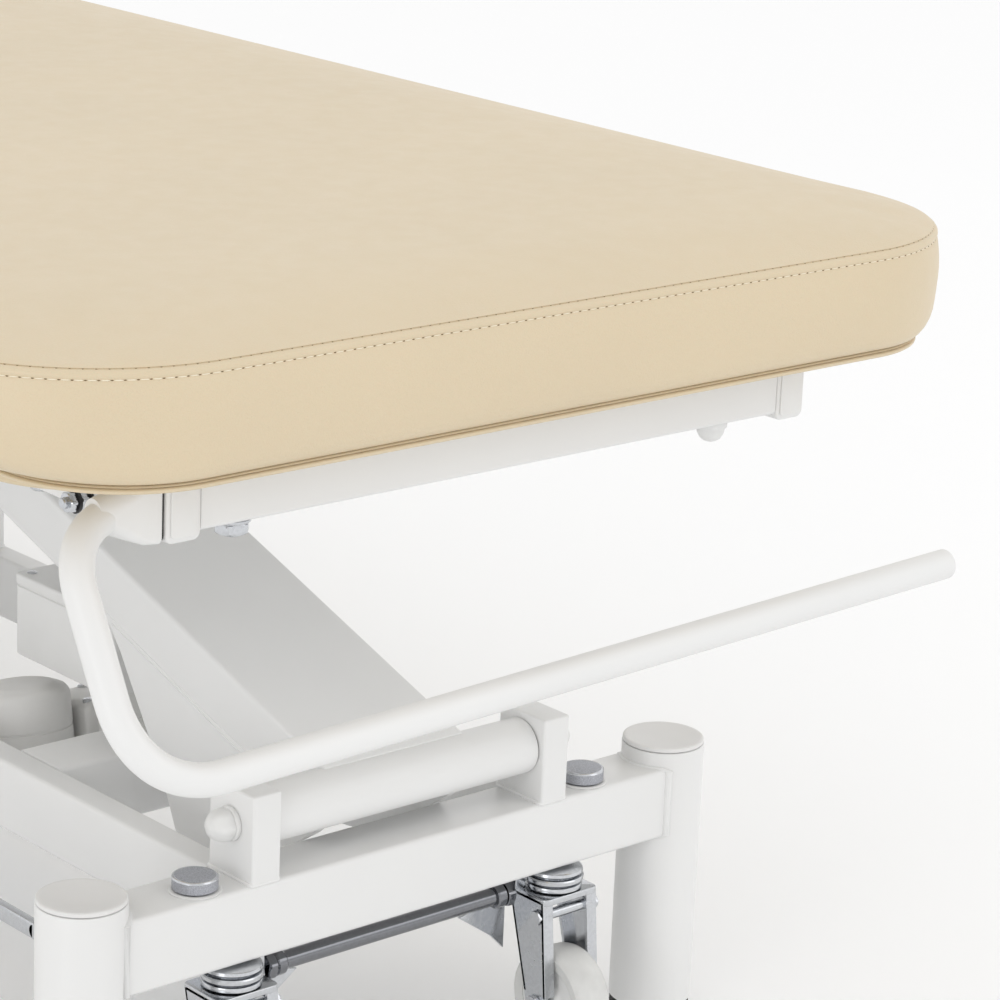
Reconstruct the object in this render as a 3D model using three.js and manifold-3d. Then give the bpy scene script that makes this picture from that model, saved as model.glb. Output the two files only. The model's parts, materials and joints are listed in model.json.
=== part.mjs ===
// Height-adjustable examination couch.
// Millimetres, +Z up. X is the width, Y the length (the roll-holder end is at -Y), the floor is z = 0.
// The base has four posts, the lift is a parallelogram of two arms, and the padded top stays level.
import * as THREE from 'three';
import * as BufferGeometryUtils from 'three/addons/utils/BufferGeometryUtils.js';
import Module from 'manifold-3d';

const wasm = await Module();
wasm.setup();

// ---------- driving dimensions ----------
const MID_Y = 850;             // middle of the whole couch along its length, from the front beam's face
const GAP = 0.3;               // clearance between neighbouring pieces

// base
const BEAM_TOP = 172;
const BEAM_HEIGHT = 44;
const BEAM_DEPTH = 40;
const BASE_LENGTH = 1220;
const POST_X = 212.7;
const POST_RADIUS = 25;
const POST_INSET = 21;         // post axis behind the outer face of its end beam
const POST_TOP = BEAM_TOP + 9.2;
const CAP_HEIGHT = 2.8;
const FOOT_HEIGHT = 14;
const SCREW_HEAD_X = 142;
const SCREW_HEAD_INSET = 16;
const SCREW_HEAD_HEIGHT = 8.9;
const SIDE_BEAM_INNER = 98.5;
const SIDE_BEAM_OUTER = 118.5;
const CROSS_MEMBER_FRONT = 208;
const CROSS_MEMBER_BACK = 250;

// lift
const PIVOT_Y = 20;
const PIVOT_Z = BEAM_TOP + 31.6;
const PIVOT_SPACING = 590;     // front arm to rear arm
const ARM_LENGTH = 560;
const ARM_REST_DEG = 18.3;
const ARM_HALF_WIDTH = 51;
const ARM_ABOVE = 16.6;
const ARM_BELOW = 21.4;
const TUBE_RADIUS = 16.6;
const TUBE_HALF_LENGTH = 94.9;
const BRACKET_INNER = 95.7;
const BRACKET_OUTER = 115.2;
const BRACKET_HEIGHT = 52;
const AXLE_RADIUS = 6;
const BORE_RADIUS = 6.3;

// actuator
const CLEVIS_Y = 276;
const CLEVIS_Z = BEAM_TOP - 22;
const LEVER_PIN_Y = PIVOT_Y + PIVOT_SPACING + 30;
const LEVER_PIN_Z = PIVOT_Z - 115;
const PIN_RADIUS = 5;
const EYE_HOLE_RADIUS = 9.2;

// upper frame and top
const RAIL_TOP = BEAM_TOP + 265;
const RAIL_HEIGHT = 34;
const RAIL_INNER = 202.8;
const RAIL_OUTER = 224;
const FRAME_FRONT = -65.5;
const FRAME_BACK = 1690;
const TUBE_SECTION = 30.2;
const SOCKET_Y = -50;
const SOCKET_Z = RAIL_TOP - 17;
const TOP_FRONT = -122;
const TOP_BACK = 1826.8;
const TOP_HALF_WIDTH = 348;
const TOP_HEIGHT = BEAM_TOP + 347;
const BOARD_THICKNESS = 8;

// paper-roll holder
const BAR_RADIUS = 8.8;
const SOCKET_RADIUS = 9.2;
const HOLDER_X = -276;
const HOLDER_Y = -118;
const HOLDER_Z = BEAM_TOP + 125;
const HOLDER_END = 298;
const HOLDER_RISE = 18;

// castors
const CASTOR_X = 119;
const CASTOR_INSET = 12;
const WHEEL_RADIUS = 31;
const WHEEL_HALF_WIDTH = 12.5;
const WHEEL_CLEARANCE = 14;
const CASTOR_TRAIL = 12;
const LIFT_SHAFT_INSET = 130;
const LIFT_SHAFT_Z = BEAM_TOP - 58;

// ---------- materials ----------
const finish = (name, color, roughness, metalness) =>
  Object.assign(new THREE.MeshStandardMaterial({ color, roughness, metalness }), { name });
const white = finish('white_paint', 0xeeeeec, 0.42, 0.0);
const plastic = finish('white_plastic', 0xe6e6e4, 0.5, 0.0);
const zinc = finish('zinc', 0x9fa3a6, 0.35, 0.9);
const rubber = finish('rubber', 0x4a4a4a, 0.85, 0.0);
const tyre = finish('tyre', 0xd9d9d6, 0.6, 0.0);
const housing = finish('motor_housing', 0xc9c9c4, 0.55, 0.0);
const leather = finish('leatherette', 0xe3cda6, 0.5, 0.0);
const wood = finish('board', 0xc9a877, 0.7, 0.0);

// ---------- solid helpers ----------
const group = new THREE.Group();
group.name = 'examination_couch';
const root = new THREE.Group();
root.name = 'couch_parts';
root.position.set(0, -MID_Y, 0);
group.add(root);

function add(name, geometry, material) {
  const mesh = new THREE.Mesh(geometry, material);
  mesh.name = name;
  root.add(mesh);
  return mesh;
}

function toSolid(geometry) {
  const bare = geometry.index ? geometry.toNonIndexed() : geometry.clone();
  bare.deleteAttribute('normal');
  bare.deleteAttribute('uv');
  const merged = BufferGeometryUtils.mergeVertices(bare, 1e-4);
  return new wasm.Manifold(new wasm.Mesh({
    numProp: 3,
    vertProperties: new Float32Array(merged.attributes.position.array),
    triVerts: new Uint32Array(merged.index.array),
  }));
}

function toGeometry(solid) {
  const mesh = solid.getMesh();
  const geometry = new THREE.BufferGeometry();
  geometry.setAttribute('position', new THREE.BufferAttribute(mesh.vertProperties, 3));
  geometry.setIndex(new THREE.BufferAttribute(mesh.triVerts, 1));
  const flat = geometry.toNonIndexed();
  flat.computeVertexNormals();
  return flat;
}

function join(...geometries) {
  return toGeometry(geometries.map(toSolid).reduce((a, b) => a.add(b)));
}

function cut(geometry, ...tools) {
  return toGeometry(tools.map(toSolid).reduce((a, b) => a.subtract(b), toSolid(geometry)));
}

// Rounded rectangle with its own radius at the low-v and high-v corners.
function roundedShape(u0, u1, v0, v1, radiusLow, radiusHigh = radiusLow) {
  const shape = new THREE.Shape();
  shape.moveTo(u0 + radiusLow, v0);
  shape.lineTo(u1 - radiusLow, v0);
  shape.absarc(u1 - radiusLow, v0 + radiusLow, radiusLow, -Math.PI / 2, 0);
  shape.lineTo(u1, v1 - radiusHigh);
  shape.absarc(u1 - radiusHigh, v1 - radiusHigh, radiusHigh, 0, Math.PI / 2);
  shape.lineTo(u0 + radiusHigh, v1);
  shape.absarc(u0 + radiusHigh, v1 - radiusHigh, radiusHigh, Math.PI / 2, Math.PI);
  shape.lineTo(u0, v0 + radiusLow);
  shape.absarc(u0 + radiusLow, v0 + radiusLow, radiusLow, Math.PI, Math.PI * 1.5);
  return shape;
}

const EX = new THREE.Vector3(1, 0, 0);
const EY = new THREE.Vector3(0, 1, 0);
const EZ = new THREE.Vector3(0, 0, 1);
const BASIS = { x: [EY, EZ, EX], y: [EZ, EX, EY], z: [EX, EY, EZ] };

// A shape pushed along one axis; its own plane is the two axes that follow that axis in turn.
function prism(axis, from, to, shape, curveSegments = 1) {
  const options = { depth: to - from, bevelEnabled: false, curveSegments };
  const geometry = new THREE.ExtrudeGeometry(shape, options);
  geometry.translate(0, 0, from);
  geometry.applyMatrix4(new THREE.Matrix4().makeBasis(...BASIS[axis]));
  return geometry;
}

// Rectangular tube or bar with softened long edges.
function bar(axis, x0, x1, y0, y1, z0, z1, radius = 2.5) {
  if (axis === 'x') return prism('x', x0, x1, roundedShape(y0, y1, z0, z1, radius));
  if (axis === 'y') return prism('y', y0, y1, roundedShape(z0, z1, x0, x1, radius));
  return prism('z', z0, z1, roundedShape(x0, x1, y0, y1, radius));
}

// Round bar along an axis, centred at (a, b) in the two following axes.
function rod(axis, from, to, a, b, radius, segments = 16) {
  const geometry = new THREE.CylinderGeometry(radius, radius, to - from, segments);
  geometry.rotateX(Math.PI / 2);
  geometry.translate(a, b, (from + to) / 2);
  geometry.applyMatrix4(new THREE.Matrix4().makeBasis(...BASIS[axis]));
  return geometry;
}

// Turned piece: profile of [radius, height] about the given axis, listed from either end.
function turned(axis, a, b, profile, segments = 16) {
  const upward = profile[0][1] < profile[profile.length - 1][1];
  const ordered = upward ? profile : [...profile].reverse();
  const points = ordered.map(([r, h]) => new THREE.Vector2(r, h));
  const geometry = new THREE.LatheGeometry(points, segments);
  geometry.rotateX(Math.PI / 2);
  geometry.translate(a, b, 0);
  geometry.applyMatrix4(new THREE.Matrix4().makeBasis(...BASIS[axis]));
  return geometry;
}

// ---------- base ----------
const ends = {
  front: { outer: 0, dir: 1 },
  rear: { outer: BASE_LENGTH, dir: -1 },
};
const sides = { left: -1, right: 1 };

function along(end, distance) {
  return ends[end].outer + ends[end].dir * distance;
}

for (const end of Object.keys(ends)) {
  const y0 = Math.min(along(end, 0), along(end, BEAM_DEPTH));
  const postY = along(end, POST_INSET);
  const reach = POST_X - 8;
  const beam = bar('x', -reach, reach, y0, y0 + BEAM_DEPTH, BEAM_TOP - BEAM_HEIGHT, BEAM_TOP);
  const postTools = Object.values(sides).map((s) =>
    rod('z', 0, BEAM_TOP + 20, s * POST_X, postY, POST_RADIUS + GAP, 32));
  add(`${end}_end_beam`, cut(beam, ...postTools), white);
  for (const [side, s] of Object.entries(sides)) {
    const tube = rod('z', FOOT_HEIGHT + GAP, POST_TOP, s * POST_X, postY, POST_RADIUS, 32);
    add(`post_${end}_${side}`, tube, white);
    add(`post_cap_${end}_${side}`, turned('z', s * POST_X, postY, [
      [0, POST_TOP + GAP + CAP_HEIGHT],
      [POST_RADIUS - 2.2, POST_TOP + GAP + CAP_HEIGHT],
      [POST_RADIUS - 1, POST_TOP + GAP + CAP_HEIGHT - 1.2],
      [POST_RADIUS - 1, POST_TOP + GAP],
      [0, POST_TOP + GAP],
    ], 32), plastic);
    add(`rubber_foot_${end}_${side}`, turned('z', s * POST_X, postY, [
      [0, FOOT_HEIGHT],
      [POST_RADIUS - 2, FOOT_HEIGHT],
      [POST_RADIUS + 1, 3],
      [POST_RADIUS, 0],
      [0, 0],
    ], 28), rubber);
    add(`screw_head_${end}_${side}`, turned('z', s * SCREW_HEAD_X, along(end, SCREW_HEAD_INSET), [
      [0, BEAM_TOP + SCREW_HEAD_HEIGHT],
      [11.8, BEAM_TOP + SCREW_HEAD_HEIGHT],
      [12.8, BEAM_TOP + SCREW_HEAD_HEIGHT - 1],
      [12.8, BEAM_TOP + GAP],
      [0, BEAM_TOP + GAP],
    ], 32), zinc);
  }
}

for (const [side, s] of Object.entries(sides)) {
  const inner = s * SIDE_BEAM_INNER;
  const outer = s * SIDE_BEAM_OUTER;
  const x0 = Math.min(inner, outer);
  const x1 = Math.max(inner, outer);
  let beam = bar('y', x0, x1, BEAM_DEPTH + GAP, BASE_LENGTH - BEAM_DEPTH - GAP,
    BEAM_TOP - BEAM_HEIGHT, BEAM_TOP);
  // hanger lugs that carry the castor lift shafts
  for (const end of Object.keys(ends)) {
    const y = along(end, LIFT_SHAFT_INSET);
    const lug = bar('z', s * 104 - 4, s * 104 + 4, y - 14, y + 14, LIFT_SHAFT_Z - 12, BEAM_TOP - 20, 3);
    beam = cut(join(beam, lug), rod('x', s * 104 - 20, s * 104 + 20, y, LIFT_SHAFT_Z, 5.4));
  }
  add(`side_beam_${side}`, beam, white);
}

const clevisLug = (s) => join(
  bar('x', Math.min(s * 9, s * 14), Math.max(s * 9, s * 14), CROSS_MEMBER_BACK - 4, CLEVIS_Y,
    CLEVIS_Z - 12, CLEVIS_Z + 12, 1),
  rod('x', Math.min(s * 9, s * 14), Math.max(s * 9, s * 14), CLEVIS_Y, CLEVIS_Z, 12),
);
add('actuator_cross_member', join(
  bar('x', -SIDE_BEAM_INNER + GAP, SIDE_BEAM_INNER - GAP, CROSS_MEMBER_FRONT, CROSS_MEMBER_BACK,
    BEAM_TOP - BEAM_HEIGHT + 1, BEAM_TOP),
  clevisLug(-1),
  clevisLug(1),
  rod('x', -15, 15, CLEVIS_Y, CLEVIS_Z, PIN_RADIUS),
), white);

// control box on a folded sheet bracket behind the cross member
const BOX_BOTTOM = BEAM_TOP + 22;
const BOX_TOP = BEAM_TOP + 75;
const BOX_FRONT = 240;
const BOX_BACK = 345;
const SHEET = 3;
const RISER_BACK = CROSS_MEMBER_BACK - 2;
const FLANGE_TOP = BOX_BOTTOM - GAP;
add('control_box_bracket', join(
  bar('x', -30, 30, CROSS_MEMBER_FRONT + 5, RISER_BACK, BEAM_TOP + GAP, BEAM_TOP + GAP + SHEET, 0.4),
  bar('x', -30, 30, RISER_BACK - SHEET, RISER_BACK, BEAM_TOP + GAP, FLANGE_TOP, 0.4),
  bar('x', -30, 30, RISER_BACK - SHEET, BOX_BACK - 20, FLANGE_TOP - SHEET, FLANGE_TOP, 0.4),
), white);
add('control_box', bar('y', -40, 40, BOX_FRONT, BOX_BACK, BOX_BOTTOM, BOX_TOP, 4), plastic);

// ---------- lower pivots ----------
const frontPivot = { name: 'front', y: PIVOT_Y, z: PIVOT_Z };
const rearPivot = { name: 'rear', y: PIVOT_Y + PIVOT_SPACING, z: PIVOT_Z };

for (const pivot of [frontPivot, rearPivot]) {
  for (const [side, s] of Object.entries(sides)) {
    const x0 = Math.min(s * BRACKET_INNER, s * BRACKET_OUTER);
    const x1 = Math.max(s * BRACKET_INNER, s * BRACKET_OUTER);
    const blockTop = BEAM_TOP + BRACKET_HEIGHT;
    const block = bar('z', x0, x1, pivot.y - 20, pivot.y + 20, BEAM_TOP + GAP, blockTop, 1.5);
    add(`pivot_bracket_${pivot.name}_${side}`,
      cut(block, rod('x', x0 - 5, x1 + 5, pivot.y, pivot.z, BORE_RADIUS)), white);
  }
}

// Pivot axle with a domed cap on each end.
const AXLE_PROFILE = [
  [0, -132], [4.6, -130.8], [7.8, -127.6], [9, -123], [9, -BRACKET_OUTER - GAP],
  [AXLE_RADIUS, -BRACKET_OUTER - GAP], [AXLE_RADIUS, BRACKET_OUTER + GAP],
  [9, BRACKET_OUTER + GAP], [9, 123], [7.8, 127.6], [4.6, 130.8], [0, 132],
];
function axle(y, z) {
  return turned('x', y, z, AXLE_PROFILE, 14);
}
add('front_lower_axle', axle(frontPivot.y, frontPivot.z), plastic);
add('rear_lower_axle', axle(rearPivot.y, rearPivot.z), plastic);

// ---------- lift arms ----------
const REST = THREE.MathUtils.degToRad(ARM_REST_DEG);
function onArm(pivot, distance, offset) {
  return [
    pivot.y + distance * Math.cos(REST) - offset * Math.sin(REST),
    pivot.z + distance * Math.sin(REST) + offset * Math.cos(REST),
  ];
}
function polygon(points) {
  const shape = new THREE.Shape();
  points.forEach(([u, v], i) => (i ? shape.lineTo(u, v) : shape.moveTo(u, v)));
  shape.closePath();
  return shape;
}

function armSolid(pivot) {
  const box = prism('x', -ARM_HALF_WIDTH, ARM_HALF_WIDTH, polygon([
    onArm(pivot, 4, -ARM_BELOW),
    onArm(pivot, ARM_LENGTH, -ARM_BELOW),
    onArm(pivot, ARM_LENGTH, ARM_ABOVE),
    onArm(pivot, 4, ARM_ABOVE),
  ]));
  const gusset = polygon([
    [pivot.y + 6, pivot.z - 4],
    [pivot.y + 70, pivot.z - 66],
    [pivot.y + 128, pivot.z - 74],
    [pivot.y + 137, pivot.z - 66],
    [pivot.y + 152, pivot.z - 35],
    [pivot.y + 176, pivot.z + 1],
    [pivot.y + 196, pivot.z + 31],
    [pivot.y + 219, pivot.z + 57],
    [pivot.y + 120, pivot.z + 40],
    [pivot.y + 20, pivot.z + 8],
  ]);
  const [topY, topZ] = onArm(pivot, ARM_LENGTH, 0);
  const welded = join(
    box,
    prism('x', -ARM_HALF_WIDTH, -ARM_HALF_WIDTH + 6, gusset),
    prism('x', ARM_HALF_WIDTH - 6, ARM_HALF_WIDTH, gusset),
    rod('x', -TUBE_HALF_LENGTH, TUBE_HALF_LENGTH, topY, topZ, TUBE_RADIUS, 32),
  );
  return cut(welded,
    rod('x', -ARM_HALF_WIDTH - 5, ARM_HALF_WIDTH + 5, pivot.y, pivot.z, TUBE_RADIUS + GAP, 32),
    rod('x', -TUBE_HALF_LENGTH - 5, TUBE_HALF_LENGTH + 5, topY, topZ, BORE_RADIUS));
}

function pivotTube(pivot) {
  return cut(
    rod('x', -TUBE_HALF_LENGTH, TUBE_HALF_LENGTH, pivot.y, pivot.z, TUBE_RADIUS, 32),
    rod('x', -TUBE_HALF_LENGTH - 5, TUBE_HALF_LENGTH + 5, pivot.y, pivot.z, BORE_RADIUS));
}

// Pair of lever plates under the rear pivot tube, with the pin the actuator pushes on.
function leverPair() {
  const cheek = (s) => {
    const x0 = Math.min(s * 12, s * 18);
    const x1 = Math.max(s * 12, s * 18);
    return join(
      prism('x', x0, x1, polygon([
        [LEVER_PIN_Y - 15, LEVER_PIN_Z],
        [LEVER_PIN_Y + 15, LEVER_PIN_Z],
        [rearPivot.y + 60, rearPivot.z + 4],
        [rearPivot.y - 8, rearPivot.z - 8],
      ])),
      rod('x', x0, x1, LEVER_PIN_Y, LEVER_PIN_Z, 15),
    );
  };
  return join(cheek(-1), cheek(1), rod('x', -22, 22, LEVER_PIN_Y, LEVER_PIN_Z, PIN_RADIUS));
}

add('front_pivot_tube', pivotTube(frontPivot), white);
add('front_lift_arm', armSolid(frontPivot), white);
add('rear_pivot_tube', pivotTube(rearPivot), white);
add('rear_lift_arm', cut(
  join(armSolid(rearPivot), leverPair()),
  rod('x', -ARM_HALF_WIDTH - 5, ARM_HALF_WIDTH + 5, rearPivot.y, rearPivot.z, TUBE_RADIUS + GAP, 32),
), white);

// ---------- linear actuator ----------
// Built along its own axis (u outward from the clevis, v upward), then tipped to its rest angle.
const actuatorLength = Math.hypot(LEVER_PIN_Y - CLEVIS_Y, LEVER_PIN_Z - CLEVIS_Z);
const actuatorTilt = Math.atan2(LEVER_PIN_Z - CLEVIS_Z, LEVER_PIN_Y - CLEVIS_Y);
function tipped(geometry) {
  geometry.rotateX(actuatorTilt);
  geometry.translate(0, CLEVIS_Y, CLEVIS_Z);
  return geometry;
}
const GUIDE_START = 66;
const GUIDE_END = 305;
const gearcase = join(
  bar('y', -16, 18, 22, 72, -30, 22, 6),
  bar('y', -60, 10, 28, 72, -44, -22, 6),
  rod('x', -8, 8, 0, 0, 12),
  bar('y', -8, 8, 0, 30, -11, 11, 2),
  rod('y', GUIDE_START, GUIDE_END, 0, 0, 18, 32),
  rod('y', GUIDE_END - 8, GUIDE_END, 0, 0, 20, 32),
);
const gearcaseBored = cut(gearcase,
  rod('y', 84, GUIDE_END + 5, 0, 0, 8.4, 24),
  rod('x', -12, 12, 0, 0, PIN_RADIUS + GAP));
add('actuator_gearcase', tipped(gearcaseBored), housing);
add('actuator_motor', tipped(turned('z', -47, 47, [
  [0, 38], [22, 38], [24, 36], [27, 36], [31, 31], [31, -21.5], [0, -21.5],
], 28)), housing);
add('actuator_rod', tipped(cut(
  join(
    rod('y', 110, actuatorLength - 10, 0, 0, 8, 24),
    rod('x', -9, 9, actuatorLength, 0, 15, 32),
  ),
  rod('x', -12, 12, actuatorLength, 0, EYE_HOLE_RADIUS, 32),
)), zinc);

// ---------- upper frame ----------
for (const [side, s] of Object.entries(sides)) {
  const x0 = Math.min(s * RAIL_INNER, s * RAIL_OUTER);
  const x1 = Math.max(s * RAIL_INNER, s * RAIL_OUTER);
  const rail = bar('y', x0, x1, FRAME_FRONT, FRAME_BACK, RAIL_TOP - RAIL_HEIGHT, RAIL_TOP, 4);
  const socket = rod('x', x0 - 5, x1 + 5, SOCKET_Y, SOCKET_Z, SOCKET_RADIUS);
  add(`frame_rail_${side}`, side === 'left' ? cut(rail, socket) : rail, white);
}

function crossTube(y0, y1) {
  return bar('x', -RAIL_INNER + GAP, RAIL_INNER - GAP, y0, y1, RAIL_TOP - TUBE_SECTION, RAIL_TOP);
}
add('roll_socket_tube', cut(
  crossTube(FRAME_FRONT + 0.5, FRAME_FRONT + 0.5 + TUBE_SECTION),
  rod('x', -RAIL_INNER - 5, -130, SOCKET_Y, SOCKET_Z, SOCKET_RADIUS),
  rod('z', RAIL_TOP - TUBE_SECTION - 5, SOCKET_Z, -172, SOCKET_Y, 4.4),
), white);
add('rear_frame_tube', crossTube(FRAME_BACK - 31, FRAME_BACK - 1), white);

const upperPivots = [];
for (const pivot of [frontPivot, rearPivot]) {
  const [y, z] = onArm(pivot, ARM_LENGTH, 0);
  upperPivots.push([y, z]);
  const plate = (s) => bar('z', Math.min(s * BRACKET_INNER, s * BRACKET_OUTER),
    Math.max(s * BRACKET_INNER, s * BRACKET_OUTER), y - 19, y + 19, z - 20, RAIL_TOP - 10, 1.5);
  add(`${pivot.name}_arm_crossbar`, cut(
    join(crossTube(y - 20, y + 20), plate(-1), plate(1)),
    rod('x', -BRACKET_OUTER - 5, BRACKET_OUTER + 5, y, z, BORE_RADIUS)), white);
  add(`${pivot.name}_upper_axle`, axle(y, z), plastic);
}

// ---------- padded top ----------
function topShape(inset, radius) {
  return roundedShape(-TOP_HALF_WIDTH + inset, TOP_HALF_WIDTH - inset, TOP_FRONT + inset, TOP_BACK - inset,
    radius - inset);
}
const BOARD_INSET = 28;
const boardBottom = RAIL_TOP + GAP;
const board = prism('z', boardBottom, boardBottom + BOARD_THICKNESS, topShape(BOARD_INSET, 112), 7);
add('top_board', board, wood);
const cushionBottom = boardBottom + BOARD_THICKNESS + GAP;
const PAD_ROUND = 13;
const pad = new THREE.ExtrudeGeometry(topShape(PAD_ROUND, 104), {
  depth: TOP_HEIGHT - cushionBottom - 2 * PAD_ROUND,
  bevelEnabled: true,
  bevelSize: PAD_ROUND,
  bevelThickness: PAD_ROUND,
  bevelSegments: 3,
  curveSegments: 7,
});
pad.translate(0, 0, cushionBottom + PAD_ROUND);
add('top_cushion', pad, leather);

// ---------- paper-roll holder ----------
const bendA = 30;
const bendB = 46;
const corner1 = new THREE.Vector3(HOLDER_X, SOCKET_Y, SOCKET_Z);
const corner2 = new THREE.Vector3(HOLDER_X, HOLDER_Y, HOLDER_Z);
const barStart = new THREE.Vector3(-135, SOCKET_Y, SOCKET_Z);
const barEnd = new THREE.Vector3(HOLDER_END, HOLDER_Y, HOLDER_Z + HOLDER_RISE);
function toward(from, to, distance) {
  return from.clone().add(to.clone().sub(from).setLength(distance));
}
function holderPath() {
  const a1 = toward(corner1, barStart, bendA);
  const a2 = toward(corner1, corner2, bendA);
  const b1 = toward(corner2, corner1, bendB);
  const b2 = toward(corner2, barEnd, bendB);
  const path = new THREE.CurvePath();
  path.add(new THREE.LineCurve3(barStart, a1));
  path.add(new THREE.QuadraticBezierCurve3(a1, corner1.clone(), a2));
  path.add(new THREE.LineCurve3(a2, b1));
  path.add(new THREE.QuadraticBezierCurve3(b1, corner2.clone(), b2));
  path.add(new THREE.LineCurve3(b2, barEnd));
  return path;
}
const ring = new THREE.Shape();
ring.absarc(0, 0, BAR_RADIUS, 0, Math.PI * 2);
const holderTube = new THREE.ExtrudeGeometry(ring, {
  extrudePath: holderPath(),
  steps: 46,
  curveSegments: 6,
  bevelEnabled: false,
});
add('roll_holder', join(
  holderTube,
  bar('x', -RAIL_OUTER - 14, -RAIL_OUTER - 1,
    SOCKET_Y - 15, SOCKET_Y + 15, SOCKET_Z - 16, SOCKET_Z + 16, 4),
), white);

add('roll_holder_clamp_screw', join(
  rod('z', RAIL_TOP - TUBE_SECTION - 9, RAIL_TOP - TUBE_SECTION - 3, -172, SOCKET_Y, 9, 6),
  rod('z', RAIL_TOP - TUBE_SECTION - 5, SOCKET_Z - BAR_RADIUS - 0.4, -172, SOCKET_Y, 4, 16),
), zinc);
add('socket_screw_cap', turned('z', 166, SOCKET_Y, [
  [0, RAIL_TOP - TUBE_SECTION - GAP],
  [8.5, RAIL_TOP - TUBE_SECTION - GAP],
  [8.5, RAIL_TOP - TUBE_SECTION - 5],
  [6.5, RAIL_TOP - TUBE_SECTION - 5],
  [6, RAIL_TOP - TUBE_SECTION - 9],
  [3.5, RAIL_TOP - TUBE_SECTION - 11.6],
  [0, RAIL_TOP - TUBE_SECTION - 12.5],
], 24), plastic);

// ---------- castors ----------
const HEAD_TOP = BEAM_TOP - 46;
const HEAD_BOTTOM = BEAM_TOP - 59;
for (const [end, { dir }] of Object.entries(ends)) {
  const shaftY = along(end, LIFT_SHAFT_INSET);
  const castorY = along(end, CASTOR_INSET);
  const pieces = [rod('x', -170, 170, shaftY, LIFT_SHAFT_Z, 5, 16)];
  for (const s of Object.values(sides)) {
    const x = s * CASTOR_X;
    pieces.push(bar('y', x - 4, x + 4, Math.min(shaftY, castorY) - 8, Math.max(shaftY, castorY) + 8,
      LIFT_SHAFT_Z - 1, LIFT_SHAFT_Z + 11, 1));
    pieces.push(rod('z', HEAD_BOTTOM, HEAD_TOP, x, castorY, 17, 24));
    pieces.push(rod('x', x - 9, x + 9, shaftY, LIFT_SHAFT_Z, 10, 16));
  }
  // foot lever beside the base
  const pedalY = shaftY + dir * 120;
  pieces.push(bar('y', -170, -164, Math.min(shaftY, pedalY), Math.max(shaftY, pedalY),
    LIFT_SHAFT_Z - 5, LIFT_SHAFT_Z + 5, 1));
  pieces.push(bar('x', -270, -160, pedalY - 16, pedalY + 16,
    LIFT_SHAFT_Z - 4, LIFT_SHAFT_Z + 4, 3));
  add(`castor_lift_${end}`, join(...pieces), zinc);

  for (const [side, s] of Object.entries(sides)) {
    const x = s * CASTOR_X;
    const axleY = castorY - dir * CASTOR_TRAIL;
    const axleZ = WHEEL_CLEARANCE + WHEEL_RADIUS;
    const cheek = (t) => prism('x', x + 19.5 * t - 1.5, x + 19.5 * t + 1.5, polygon([
      [castorY - 15, HEAD_BOTTOM - 2],
      [axleY - 8, axleZ],
      [axleY, axleZ - 7],
      [axleY + 8, axleZ],
      [castorY + 15, HEAD_BOTTOM - 2],
    ]));
    const plate = bar('z', x - 21, x + 21, castorY - 17, castorY + 17,
      HEAD_BOTTOM - 4.5, HEAD_BOTTOM - GAP - 0.2, 4);
    const axle = rod('x', x - 22.5, x + 22.5, axleY, axleZ, 4, 16);
    add(`castor_fork_${end}_${side}`, join(plate, cheek(-1), cheek(1), axle), zinc);
    add(`castor_wheel_${end}_${side}`, cut(
      turned('x', axleY, axleZ, [
        [0, x - WHEEL_HALF_WIDTH],
        [WHEEL_RADIUS - 3, x - WHEEL_HALF_WIDTH],
        [WHEEL_RADIUS, x - WHEEL_HALF_WIDTH + 4],
        [WHEEL_RADIUS, x + WHEEL_HALF_WIDTH - 4],
        [WHEEL_RADIUS - 3, x + WHEEL_HALF_WIDTH],
        [0, x + WHEEL_HALF_WIDTH],
      ], 28),
      rod('x', x - 20, x + 20, axleY, axleZ, 4.3, 16)), tyre);
  }
}

export default group;
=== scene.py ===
import json
import math

import bmesh
import bpy
from mathutils import Matrix, Vector, noise

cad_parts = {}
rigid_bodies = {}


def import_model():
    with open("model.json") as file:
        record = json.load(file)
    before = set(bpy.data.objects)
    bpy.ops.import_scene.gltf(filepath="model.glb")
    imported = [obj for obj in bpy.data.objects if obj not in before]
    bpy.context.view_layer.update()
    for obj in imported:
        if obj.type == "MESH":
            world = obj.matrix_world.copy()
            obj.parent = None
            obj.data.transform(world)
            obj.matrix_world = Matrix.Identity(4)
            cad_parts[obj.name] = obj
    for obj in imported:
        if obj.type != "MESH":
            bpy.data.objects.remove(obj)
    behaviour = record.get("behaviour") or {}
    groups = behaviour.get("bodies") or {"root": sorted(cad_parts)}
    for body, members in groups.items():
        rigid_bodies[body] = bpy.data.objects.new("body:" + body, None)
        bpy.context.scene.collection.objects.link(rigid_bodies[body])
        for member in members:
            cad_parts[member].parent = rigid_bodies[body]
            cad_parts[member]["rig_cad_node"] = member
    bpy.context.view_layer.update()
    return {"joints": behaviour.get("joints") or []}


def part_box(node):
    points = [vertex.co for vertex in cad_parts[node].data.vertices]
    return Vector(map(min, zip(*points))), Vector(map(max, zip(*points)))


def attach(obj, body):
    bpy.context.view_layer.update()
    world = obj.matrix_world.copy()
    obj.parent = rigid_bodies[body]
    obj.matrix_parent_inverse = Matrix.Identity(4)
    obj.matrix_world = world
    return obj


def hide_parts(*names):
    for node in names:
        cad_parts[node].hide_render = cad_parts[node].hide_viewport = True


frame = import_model()

# Shapes are built in millimetres: x across, y from the outer face of the front beam, z from the floor.
FRONT_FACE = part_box("front_end_beam")[0].y


def to_row(p):
    """From the shapes' millimetres to the frame's metres."""
    return Vector((p[0] / 1000, FRONT_FACE + p[1] / 1000, p[2] / 1000))


def to_mm(v):
    return (v[0] * 1000, (v[1] - FRONT_FACE) * 1000, v[2] * 1000)


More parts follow.
